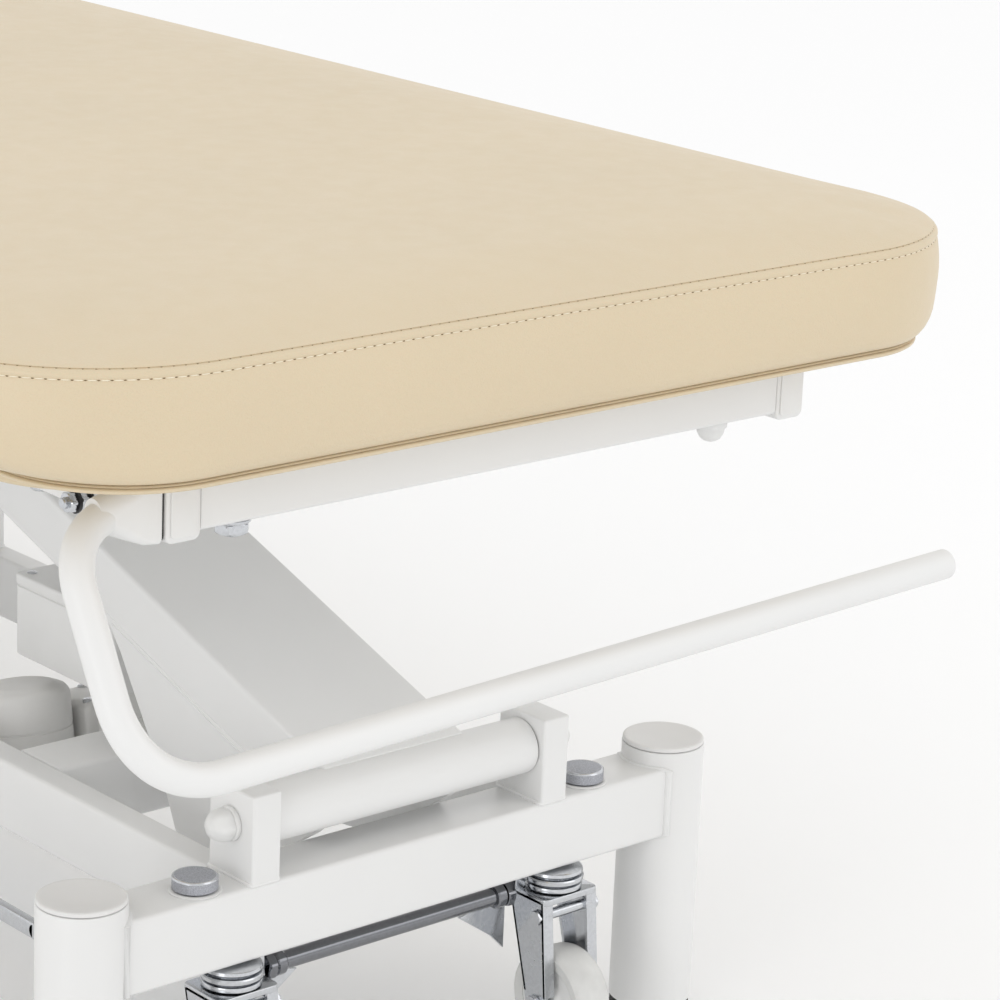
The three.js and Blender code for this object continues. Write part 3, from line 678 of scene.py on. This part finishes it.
# screws that hold the board to the rails, under the frame
out_x, _, z = span("frame_rail_left")[0]
screw = [(0, z + 0.4), (7.5, z + 0.4), (7.8, z - 0.2), (7.4, z - 0.9), (5.6, z - 1.0), (5.4, z - 2.6),
                     (4.4, z - 3.6), (2.6, z - 4.1), (0, z - 4.2)]
piece("board_screws", [lathe("z", (s * RAIL_SCREW_X, y), screw, 32) for s in SIDES.values()
                       for y in RAIL_SCREWS_Y], "zinc", "couch_top")

# adjusting bolts with nuts and washers on the outer side of the left rail
bolts, washers = [], []
stud = [(0, out_x + 1), (3, out_x + 1), (3, out_x - 15.2), (2.4, out_x - 16), (0, out_x - 16)]
for at in ((2, z + 7.5), (-22, z + 8.5)):
    bolts.append(lathe("x", at, stud, 28))
    bolts.append(hex_bar("x", at, 5.8, out_x - 6.6, out_x - 2.2, 0.3, 0.5))
    bolts.append(hex_bar("x", at, 5.8, out_x - 13.4, out_x - 9.2, 0.1, 0.5))
    for a in (out_x - 0.1, out_x - 7.2):
        washers.append(lathe("x", at, [(3.05, a), (6.4, a), (6.4, a - 1.5), (3.05, a - 1.5)], 36))
piece("rail_bolts", bolts, "zinc", "couch_top", sharp=30)
piece("rail_bolt_washers", washers, "black_plastic", "couch_top")

# ---------- paper-roll holder ----------
tube = span("roll_socket_tube")
rail = span("frame_rail_left")
hlo, hhi = span("roll_holder")
BAR_R = 8.8
SX, SY, SZ = -135.0, (tube[0][1] + tube[1][1]) / 2 + 0.1, tube[1][2] - 17
ELBOW_X, HOLDER_DROP, HOLDER_RISE = -276, 123, 18
corner_a = Vector((ELBOW_X, SY, SZ))
corner_b = Vector((ELBOW_X, hlo[1] + BAR_R, SZ - HOLDER_DROP))
far_end = Vector((hhi[0] - 1.6, hlo[1] + BAR_R, corner_b.z + HOLDER_RISE))
first = Vector((SX, SY, SZ))


def bend(a, corner, b, before, after, steps=22):
    """Smooth turn at a corner of the path, starting and ending at the given distances from it."""
    p = corner + (a - corner).normalized() * before
    q = corner + (b - corner).normalized() * after
    out = []
    for k in range(steps + 1):
        t = k / steps
        out.append(p * (1 - t) ** 3 + (p + (corner - p) * 0.6) * 3 * t * (1 - t) ** 2
                   + (q + (corner - q) * 0.6) * 3 * t * t * (1 - t) + q * t ** 3)
    return out


path = [first, first + Vector((-20, 0, 0)), *bend(first, corner_a, corner_b, 36, 36),
        *bend(corner_a, corner_b, far_end, 50, 50)]
tail = (far_end - corner_b).normalized()
path.append(far_end - tail)
radii = [BAR_R] * len(path)
for on, inset in ((0, 0), (0.5, 0.15), (0.95, 0.5), (1.3, 1.1), (1.45, 1.8), (1.5, 3), (1.5, BAR_R - 0.05)):
    path.append(far_end + tail * on)
    radii.append(BAR_R - inset)
# square sleeve that passes into the round bar: way out from its face, inset, and how square it still is
ferrule = []
face = rail[0][0] - 1.8
for d, inset, square in ((0, 0.8, 1), (0.5, 0.2, 1), (1.2, 0, 1), (9, 0.4, 0.9), (17, 3.2, 0.55),
                         (25, 6.6, 0.15), (31, 8.3, 0.0)):
    half = 16.4 - inset * 0.92
    section = rounded(-half + 1.2, half - 1.2, -half, half, TUBE_CORNER * square + half * (1 - square), 8)
    ferrule.append([(face - d, SY + u, SZ + v) for u, v in section])
piece("roll_holder_bar", [sweep(path, radii, 40), loft(ferrule)], "white_paint", "paper_roll_holder",
      "roll_holder", sharp=45)
# black strip filling the gap between the sleeve's face and the rail: painted shade of that gap
gap_shade_strip = bar("x", (face + 0.3, SY - 13.6, SZ - 15.6), (rail[0][0] - 0.2, SY + 13.6, SZ + 15.6), 3, 0.2)
piece("ferrule_gap_shade", [gap_shade_strip], "black_plastic", "paper_roll_holder")

under = tube[0][2]


def below(*profile):
    """A profile with its places measured down from the underside of the socket tube."""
    return [(r, under - down) for r, down in profile]


at = centre("roll_holder_clamp_screw")[:2]
piece("clamp_bolt", [
    rod("z", at, 3.9, under + 6, under - 1.2),
    hex_bar("z", at, 9.8, under - 9.2, under - 3.0, 0.2, 0.9),
    lathe("z", at, below((0, 3.2), (9.6, 3.2), (9.9, 2.8), (9.9, 1.7), (9.4, 1.3), (0, 1.3)), 48),
    lathe("z", at, below((0, 9), (5.2, 9), (5.2, 10.2), (4.6, 10.8), (0, 10.8)), 32),
], "zinc", "clamp_screw", "roll_holder_clamp_screw")
# black ring in the gap between the tube's underside and the bolt's washer: painted shade of that gap
piece("clamp_gap_shade_ring", [lathe("z", at, below((4.6, -0.4), (8.4, -0.4), (8.4, 0.9), (4.6, 0.9)), 40)],
      "black_plastic", "couch_top")
at = centre("socket_screw_cap")[:2]
dome = below((0, 1.2), (9.2, 1.2), (9.4, 1.8), (9.3, 4.2), (8.7, 5.0), (8.2, 5.4), (7.6, 8.2), (6.2, 10.8),
             (4.4, 12.4), (2.2, 13.3), (0, 13.5))
piece("screw_cover", [rod("z", at, 6.4, under + 0.3, under - 1.2, 40), lathe("z", at, dome, 48, 6, 0.02)],
      "white_plastic", "couch_top", "socket_screw_cap", sharp=50)

# ---------- padded top ----------
(_, PAD_FRONT, BED), (PAD_SIDE, PAD_BACK, _) = span("top_cushion")
SEAM_W = PAD_SIDE - 8
RUN, SHORT, CORNER = 220, 32, 28     # points along a side, half an end and a corner
# height above the board, outset, and how far the section has drawn in to the smaller lower outline
RIM = [(0.2, -6.5, 1), (0.25, -3.0, 1), (0.6, -1.2, 1), (1.3, -0.2, 1), (2.1, 0.1, 1), (2.7, -0.3, 1),
       (3.05, -1.3, 1), (3.25, -2.8, 1), (3.5, -2.7, 1), (3.7, -1.0, 1), (4.2, -0.4, 1), (4.65, -0.9, 1),
       (4.85, -2.7, 1), (5.1, -3.0, 1), (5.35, -1.0, 0.98), (6.0, 0.7, 0.92), (7.6, 2.1, 0.78),
       (10.0, 3.1, 0.58), (13.5, 3.5, 0.36), (17.5, 3.6, 0.2), (22.0, 3.6, 0.1), (28.0, 3.6, 0.04),
       (34.0, 3.7, 0), (40.0, 3.6, 0), (46.0, 3.2, 0), (51.0, 2.6, 0), (54.5, 2.0, 0), (56.6, 1.5, 0),
       (57.8, 1.1, 0), (58.25, 0.7, 0), (58.7, 1.2, 0), (59.8, 1.5, 0), (61.2, 1.3, 0), (62.2, 0.6, 0),
       (62.8, -0.4, 0), (63.05, -1.45, 0), (63.35, -1.65, 0), (63.6, -1.2, 0), (64.2, -1.7, 0),
       (65.2, -3.5, 0), (66.4, -7.2, 0), (67.8, -12.5, 0), (69.1, -20, 0), (70.4, -31, 0), (71.5, -46, 0),
       (72.3, -66, 0), (72.9, -92, 0), (73.2, -122, 0), (73.4, -155, 0), (73.5, -190, 0), (73.5, -225, 0),
       (73.5, -258, 0), (73.5, -288, 0), (73.5, -312, 0), (73.5, -329, 0)]
HEIGHTS = [row[0] for row in RIM]
STITCH, SEAM, FIRST_FREE = HEIGHTS.index(58.25), HEIGHTS.index(63.05), HEIGHTS.index(5.35)
CLOTH_FRAMES = 20
STITCH_STEP = 6.2


def outline_at(outset, low):
    """Rounded rectangle round the pad, from the middle of the front, counter-clockwise."""
    w = SEAM_W - 34 * low + outset
    draw = 7 + 2 * low - outset
    y0, y1 = PAD_FRONT + draw, PAD_BACK - draw
    r = 112 - 42 * low + outset
    if outset < -80:
        r = max(32 + (outset + 80) * 0.08, 6)
    r = min(r, w - 1)
    half = [((w - r) * k / SHORT, y0) for k in range(SHORT)]
    half += arc(w - r, y0 + r, r, -90, 0, CORNER)[:-1]
    half += [(w, y0 + r + (y1 - y0 - 2 * r) * k / RUN) for k in range(RUN)]
    half += arc(w - r, y1 - r, r, 0, 90, CORNER)[:-1]
    half += [((w - r) * (1 - k / SHORT), y1) for k in range(SHORT)]
    return half + [(-x, y) for x, y in [(0, y1), *half[:0:-1]]]


def smooth(t):
    t = min(1.0, max(0.0, t))
    return t * t * (3 - 2 * t)


def pad_rings():
    rings = []
    for i, (height, outset, low) in enumerate(RIM):
        ring = []
        for x, y in outline_at(outset, low):
            at = Vector((x, y, height * 3)) / 90
            sway = noise.noise(at) * 0.55 + noise.noise(at * 3.1) * 0.22
            # the cover is drawn in a little midway along each side
            way = min(1, max(0, (y - PAD_FRONT) / (PAD_BACK - PAD_FRONT)))
            inward = 1.3 * math.sin(math.pi * way) if outset > -40 else 0
            free = 1.0 if FIRST_FREE < i < STITCH - 1 else 0.35
            # away from the corners the lower edge stands wider again
            wider = 14 * low * smooth((min(y - PAD_FRONT, PAD_BACK - y) - 160) / 420)
            scale = 1 + (sway * free - inward * 0.6 + wider) / max(abs(x), 120)
            z = BED + height + (sway * 0.5 if height > 66 else 0)
            ring.append([x * scale, y + sway * free * (0.5 if y > PAD_FRONT + 300 else -0.5), z])
        rings.append(ring)
    return rings


def strip(base, n):
    """Faces that close a ring across its long middle."""
    half = n // 2
    out = [(base, base + 1, base + n - 1)]
    out += [(base + k, base + k + 1, base + n - k - 1, base + n - k) for k in range(1, half - 1)]
    return out + [(base + half - 1, base + half, base + half + 1)]


def pad_shape(rings):
    """The rings joined as a loft, with strips of faces for its two ends."""
    n = len(rings[0])
    points, faces = loft(rings)
    return points, faces[:-2] + strip(0, n) + strip((len(rings) - 1) * n, n)


def inflated(rings, every=4, cap=5.0):
    """Blows the cover up as cloth held at its seams and spreads the movement over the fine rings."""
    n = len(rings[0])
    keep = [0, 8, FIRST_FREE, 16, 18, 20, 22, 24, 26, STITCH, SEAM, SEAM + 2, 39, 41, *range(43, len(rings))]
    coarse = [[rings[i][k] for k in range(0, n, every)] for i in keep]
    points, faces = pad_shape(coarse)
    cloth = mesh_object("cover_cloth", points, faces)
    m = n // every
    held = cloth.vertex_groups.new(name="sewn")
    rows = [r for r, i in enumerate(keep) if i <= FIRST_FREE or i in (STITCH, SEAM, SEAM + 2)]
    held.add([r * m + k for r in rows for k in range(m)], 1.0, "REPLACE")
    sim = cloth.modifiers.new("cloth", "CLOTH")
    s = sim.settings
    s.quality, s.mass = 6, 0.4
    s.tension_stiffness, s.compression_stiffness, s.shear_stiffness, s.bending_stiffness = 40, 40, 20, 2
    s.use_pressure, s.uniform_pressure_force = True, 4.0
    s.vertex_group_mass, s.pin_stiffness = "sewn", 1.0
    s.effector_weights.gravity = 0.0
    sim.point_cache.frame_start, sim.point_cache.frame_end = 1, CLOTH_FRAMES
    for f in range(1, CLOTH_FRAMES + 1):
        bpy.context.scene.frame_set(f)
    done = cloth.evaluated_get(bpy.context.evaluated_depsgraph_get()).to_mesh()
    shift = []
    for v, p in zip(done.vertices, points):
        d = Vector(to_mm(v.co)) - Vector(p)
        size = d.length
        shift.append(d * (cap * math.tanh(size / cap) / size) if size > 1e-6 else Vector())
    bpy.data.objects.remove(cloth, do_unlink=True)
    bpy.context.scene.frame_set(1)
    for r in range(len(keep) - 1):
        a, b = keep[r], keep[r + 1]
        for i in range(a, b + (r == len(keep) - 2)):
            t = (i - a) / (b - a)
            for k in range(n):
                c, u = k // every, (k % every) / every
                e = (c + 1) % m
                near = shift[r * m + c].lerp(shift[r * m + e], u)
                far = shift[(r + 1) * m + c].lerp(shift[(r + 1) * m + e], u)
                d = near.lerp(far, t)
                p = rings[i][k]
                rings[i][k] = [p[0] + d.x, p[1] + d.y, p[2] + d.z]
    return rings


rings = pad_rings()
rings = inflated(rings)
cover = piece("cushion_cover", [pad_shape(rings)], "leatherette", "couch_top", "top_cushion", sharp=70)


def ring_walk(ring, step):
    """Evenly spaced points round a closed ring, with the direction of travel at each."""
    pts = [Vector(p) for p in ring]
    gaps = [(pts[(i + 1) % len(pts)] - p).length for i, p in enumerate(pts)]
    total = sum(gaps)
    count = round(total / step)
    out, i, gone = [], 0, 0.0
    for c in range(count):
        want = total * c / count
        while gone + gaps[i] < want:
            gone += gaps[i]
            i += 1
        t = (want - gone) / gaps[i]
        a, b = pts[i], pts[(i + 1) % len(pts)]
        out.append((a.lerp(b, t), (b - a).normalized()))
    return out


def bead(at, along, outward, length, wide, high, n=6):
    """Small rounded grain lying along a direction."""
    up = outward.cross(along)
    rings = []
    for t, s in ((-0.5, 0.12), (-0.42, 0.7), (-0.22, 1), (0.22, 1), (0.42, 0.7), (0.5, 0.12)):
        mid = at + along * (length * t)
        rings.append([tuple(mid + (up * math.cos(2 * math.pi * k / n) * wide
                                   + outward * math.sin(2 * math.pi * k / n) * high) * s) for k in range(n)])
    return loft(rings)


threads, holes, seam_shade_beads = [], [], []
UP = Vector((0, 0, 1))
# each needle hole is a dark bead on the surface, its colour painted shade of the hole
for at, along in ring_walk(rings[STITCH], STITCH_STEP):
    outward = along.cross(UP).normalized()
    threads.append(bead(at + along * (STITCH_STEP / 2) + outward * 0.12, along, outward, 4.4, 0.36, 0.34))
    holes.append(bead(at + outward * 0.05, along, outward, 1.25, 0.62, 0.34))
# dark beads along the top seam, their colour painted shade of its groove
for at, along in ring_walk(rings[SEAM], STITCH_STEP):
    outward = along.cross(UP).normalized()
    seam_shade_beads.append(bead(at + outward * 0.1, along, outward, 1.0, 0.26, 0.3))
stitching = piece("cushion_stitching", threads, "thread", "couch_top")
hole_shade_piece = piece("cushion_hole_shade_dots", holes, "hole", "couch_top")
seam_shade_piece = piece("cushion_seam_shade_dots", seam_shade_beads, "seam_shade_tone", "couch_top")

blo, bhi = span("top_board")
BOARD_INSET, BOARD_CORNER = 22, 84


def board_ring(inset, z):
    inset += BOARD_INSET
    return [(u, v, z) for u, v in rounded(blo[0] + inset, bhi[0] - inset, blo[1] + inset, bhi[1] - inset,
                                          BOARD_CORNER - inset, 24)]


low, top = blo[2], bhi[2]
wrap = [board_ring(inset, z) for inset, z in (
    (6, top), (1.6, top - 0.2), (0.4, top - 1.2), (0, top - 2.6), (0, low + 2.6), (0.5, low + 1.1),
    (1.8, low + 0.2), (5, low), (44, low), (46, low + 0.25), (46.4, low + 0.8), (46.4, low + 1.6))]
wrapped = piece("wrapped_board", [loft(wrap)], "leatherette", "couch_top", "top_board")
inner = [board_ring(inset, low + up) for inset, up in ((47, 1.5), (47, 0.6), (47.6, 0.35), (60, 0.3))]
piece("underside_cloth", [loft(inner)], "cloth", "couch_top")
staples = []
for at, along in ring_walk(board_ring(34, low), 46):
    staples.append(bead(at, along, -UP, 10, 0.55, 0.5))
piece("board_staples", staples, "zinc", "couch_top")


# ---------- castors ----------
LEVER_LENGTH = 120
FORK_HALF_WIDTH = 21


def both_faces(x, half, profile):
    """Radius and depth from a wheel's face, made into a section that is the same on both faces."""
    near = [(r, x - half + depth) for r, depth in profile]
    return near + [(r, x + half - depth) for r, depth in profile[::-1]]


for end, inward in ENDS.items():
    carriage = f"castor_carriage_{end}"
    _, ty, tz = joint(f"castor_lift_{end}_tilt")
    cx, cy, _ = joint(f"castor_{end}_right_swivel")
    shaft = [(0, -170), (4.4, -170), (5, -169.4), (5, 169.4), (4.4, 170), (0, 170)]
    shapes = [lathe("x", (ty, tz), shaft, 32)]
    heads = []
    top = tz + 12
    neck = [(0, top), (15.6, top), (17, top - 0.9), (17.4, top - 2.6), (16.6, top - 3.4), (14.4, top - 3.7),
            (14.4, top - 4.5), (17.4, top - 4.8), (18, top - 5.6), (17.8, top - 7.6), (16.8, top - 8.3),
            (14.2, top - 8.6), (14.2, top - 9.4), (16.8, top - 9.8), (17.2, top - 10.6), (17, top - 12.4),
            (0, top - 12.6)]
    for s in SIDES.values():
        x = s * cx
        shapes.append(bar("y", (x - 4, min(ty, cy) - 8, tz - 1), (x + 4, max(ty, cy) + 8, tz + 11), 1.2, 1))
        shapes.append(lathe("x", (ty, tz), [(5, x - 9), (10, x - 9), (10, x + 9), (5, x + 9)], 40))
        heads.append(lathe("z", (x, cy), neck))
        heads.append(hex_bar("x", (cy + 3, top - 9), 4.4, *sorted((x + 16.5, x + 21.5)), 0.2, 0.5))
    lever_y = ty + inward * LEVER_LENGTH
    shapes.append(bar("y", (-170, min(ty, lever_y), tz - 5), (-164, max(ty, lever_y), tz + 5), 1.2, 1))
    piece(f"castor_carriage_frame_{end}", shapes, "zinc", carriage, f"castor_lift_{end}", bevel=0.4)
    piece(f"swivel_heads_{end}", heads, "zinc", carriage)
    pedal = [bar("x", (-270, lever_y - 16, tz - 4), (-160, lever_y + 16, tz + 4), 3, 2)]
    piece(f"pedal_plate_{end}", pedal, "zinc", carriage)
    ribs = [bar("x", (-264, lever_y + off - 1.4, tz + 3.6), (-206, lever_y + off + 1.4, tz + 5.4), 1, 0.6)
            for off in range(-12, 13, 6)]
    ribs.append(bar("x", (-266, lever_y - 15, tz + 3.4), (-204, lever_y + 15, tz + 4.5), 2, 0.5))
    piece(f"pedal_tread_{end}", ribs, "rubber", carriage)
    # tie rod between the castors, with its collars, nuts and link plates
    ry, rz = cy + inward * 8, tz - 2
    ties = [lathe("x", (ry, rz), [(0, -88), (4.6, -88), (5.3, -87.3), (5.3, 87.3), (4.6, 88), (0, 88)], 40)]
    stays, links = [], []
    for s in SIDES.values():
        collar = [(0, s * 78), (6.6, s * 78), (7.4, s * 79), (7.4, s * 84), (6.4, s * 85), (0, s * 85)]
        ties.append(lathe("x", (ry, rz), collar, 32))
        ties.append(hex_bar("x", (ry, rz), 8.4, *sorted((s * 85.5, s * 91)), 0.3, 0.7))
        ties.append(rod("x", (ry, rz + 3), 3.6, s * 90, s * 101, 24))
        stay = [(s * 60, rz - 12), (s * 96, rz - 3), (s * 96, rz - 40), (s * 86, rz - 30)]
        stays.append(plate("y", *sorted((ry + inward * 8, ry + inward * 10)), stay))
        link = [(s * 92, rz - 7), (s * 99, rz - 5), (s * 101.5, rz + 10), (s * 93, rz + 10)]
        links.append(plate("y", *sorted((ry - inward * 4, ry + inward * 4)), link))
    piece(f"castor_tie_rod_{end}", ties, "chrome", carriage, sharp=30)
    piece(f"tie_rod_stays_{end}", stays, "zinc", carriage, bevel=0.5)
    piece(f"tie_rod_links_{end}", links, "zinc", carriage, bevel=0.5)
    for side, s in SIDES.items():
        fork, wheel = f"fork_{end}_{side}", f"wheel_{end}_{side}"
        x, ay, az = joint(f"castor_{end}_{side}_roll")
        head, wide = span(f"castor_fork_{end}_{side}")[1][2], FORK_HALF_WIDTH
        shapes = [bar("z", (x - wide, cy - 17, head - 4), (x + wide, cy + 17, head), 4, 0.6)]
        for t in (-1, 1):
            cheek = [(cy - 15, head - 1.5), (ay - 9, az + 1), *arc(ay, az, 9, 180, 360, 12), (ay + 9, az + 1),
                     (cy + 15, head - 1.5)]
            shapes.append(plate("x", *sorted((x + t * (wide - 2.6), x + t * wide)), cheek))
            # the free edges are folded in as stiffening flanges
            a, b = sorted((x + t * (wide - 7.6), x + t * wide))
            for y_top, y_low, fold in ((cy - 15, ay - 9, 2.2), (cy + 15, ay + 9, -2.2)):
                y_end = y_low + (y_top - y_low) * 5 / (head - 3 - az)
                edge = [(a, y_top, head - 2), (b, y_top, head - 2), (b, y_end, az + 6), (a, y_end, az + 6)]
                shapes.append(loft([[(u, v + d, w) for u, v, w in edge] for d in (0, fold)]))
        piece(f"fork_plates_{end}_{side}", shapes, "zinc", fork, f"castor_fork_{end}_{side}", bevel=0.3)
        pins = []
        bolt = (cy - 11, head - 12)
        for t in (-1, 1):
            pins.append(hex_bar("x", (ay, az), 6.6, *sorted((x + t * 21.2, x + t * 24)), 0.2, 0.6))
            tip = [(0, x + t * 23), (3.4, x + t * 23), (3.4, x + t * 25), (0, x + t * 25.2)]
            pins.append(lathe("x", (ay, az), tip, 24))
            pins.append(hex_bar("x", bolt, 5.6, *sorted((x + t * 13.2, x + t * 18.2)), 0.4, 0.6))
            pins.append(hex_bar("x", bolt, 4.8, *sorted((x + t * 21.2, x + t * 23.6)), 0.1, 0.5))
        pins.append(rod("x", bolt, 3.2, x - 19, x + 19, 28))
        piece(f"fork_pin_{end}_{side}", pins, "zinc", fork, sharp=30)
        lo, hi = span(f"castor_wheel_{end}_{side}")
        r, half = (hi[2] - lo[2]) / 2, (hi[0] - lo[0]) / 2
        tread = both_faces(x, half, ((r - 9, 1), (r - 3, 0), (r - 1.2, 1.2), (r - 0.3, 3.6), (r, 7)))
        hub = both_faces(x, half, ((4.3, 0.4), (8, 0.4), (9, 1.8), (12, 3.4), (r - 11, 3), (r - 9.4, 1.2),
                                   (r - 8.8, 1.6)))
        piece(f"wheel_tyre_{end}_{side}", [hoop("x", (ay, az), tread, 72)], "tyre", wheel,
              f"castor_wheel_{end}_{side}")
        piece(f"wheel_hub_{end}_{side}", [hoop("x", (ay, az), hub, 72)], "white_plastic", wheel)


# ---------- stage, light and camera, in metres ----------
def stage_plane(name, half, z):
    mesh = bpy.data.meshes.new(name)
    corners = [(-half, -half, z), (half, -half, z), (half, half, z), (-half, half, z)]
    mesh.from_pydata(corners, [], [(0, 1, 2, 3)])
    f = Finish("pale_floor", (0.965, 0.965, 0.965), 0.8)
    f.colour(f.noise(0.6, 2), (0.962, 0.962, 0.962), (0.968, 0.968, 0.968))
    mesh.materials.append(f.material)
    obj = added(bpy.data.objects.new(name, mesh))


stage_plane("studio_floor", half=30, z=-0.0005)
world = bpy.data.worlds.new("studio")
world.use_nodes = True
backdrop = world.node_tree.nodes["Background"].inputs
backdrop["Color"].default_value, backdrop["Strength"].default_value = (1, 1, 1, 1), 1.0
bpy.context.scene.world = world


def softbox(name, at, towards, size, power):
    """Round area light that faces a point."""
    data = bpy.data.lights.new(name, "AREA")
    data.shape, data.size, data.energy = "DISK", size, power
    obj = bpy.data.objects.new(name, data)
    obj.location = at
    obj.rotation_euler = (Vector(towards) - Vector(at)).to_track_quat("-Z", "Y").to_euler()
    added(obj)


softbox("key_softbox", (1.6, -3.4, 2.4), (0, -0.4, 0.35), 2.6, 13)
softbox("fill_softbox", (-2.6, -1.6, 0.7), (0, 0.1, 0.25), 1.2, 6)

view = bpy.context.scene.view_settings
view.view_transform, view.look = "Standard", "None"

# the camera looks from the front left, downwards, at the holder end
SENSOR = 36.0
LENS_PER_SENSOR = 3.572
CAMERA_LEFT, CAMERA_AHEAD, CAMERA_ABOVE_BEAM = 1220.1, 1428.0, 761.0
yaw, pitch, roll = math.radians(41.729), math.radians(16.549), math.radians(2.4)
ahead = Vector((math.sin(yaw) * math.cos(pitch), math.cos(yaw) * math.cos(pitch), -math.sin(pitch)))
right = Vector((math.cos(yaw), -math.sin(yaw), 0))
up = right.cross(ahead)
axis_x = right * math.cos(roll) + up * math.sin(roll)
axis_y = up * math.cos(roll) - right * math.sin(roll)
camera = added(bpy.data.objects.new("camera", bpy.data.cameras.new("camera")))
camera.data.sensor_width, camera.data.lens = SENSOR, SENSOR * LENS_PER_SENSOR
turn = Matrix((axis_x, axis_y, -ahead)).transposed().to_4x4()
height = span("front_end_beam")[1][2] + CAMERA_ABOVE_BEAM
camera.matrix_world = Matrix.Translation(to_row((-CAMERA_LEFT, -CAMERA_AHEAD, height))) @ turn
bpy.context.scene.camera = camera

for obj in bpy.context.scene.objects:
    if obj.type == "MESH" and "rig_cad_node" in obj and not obj.hide_render:
        print("CAD node still showing:", obj.name)
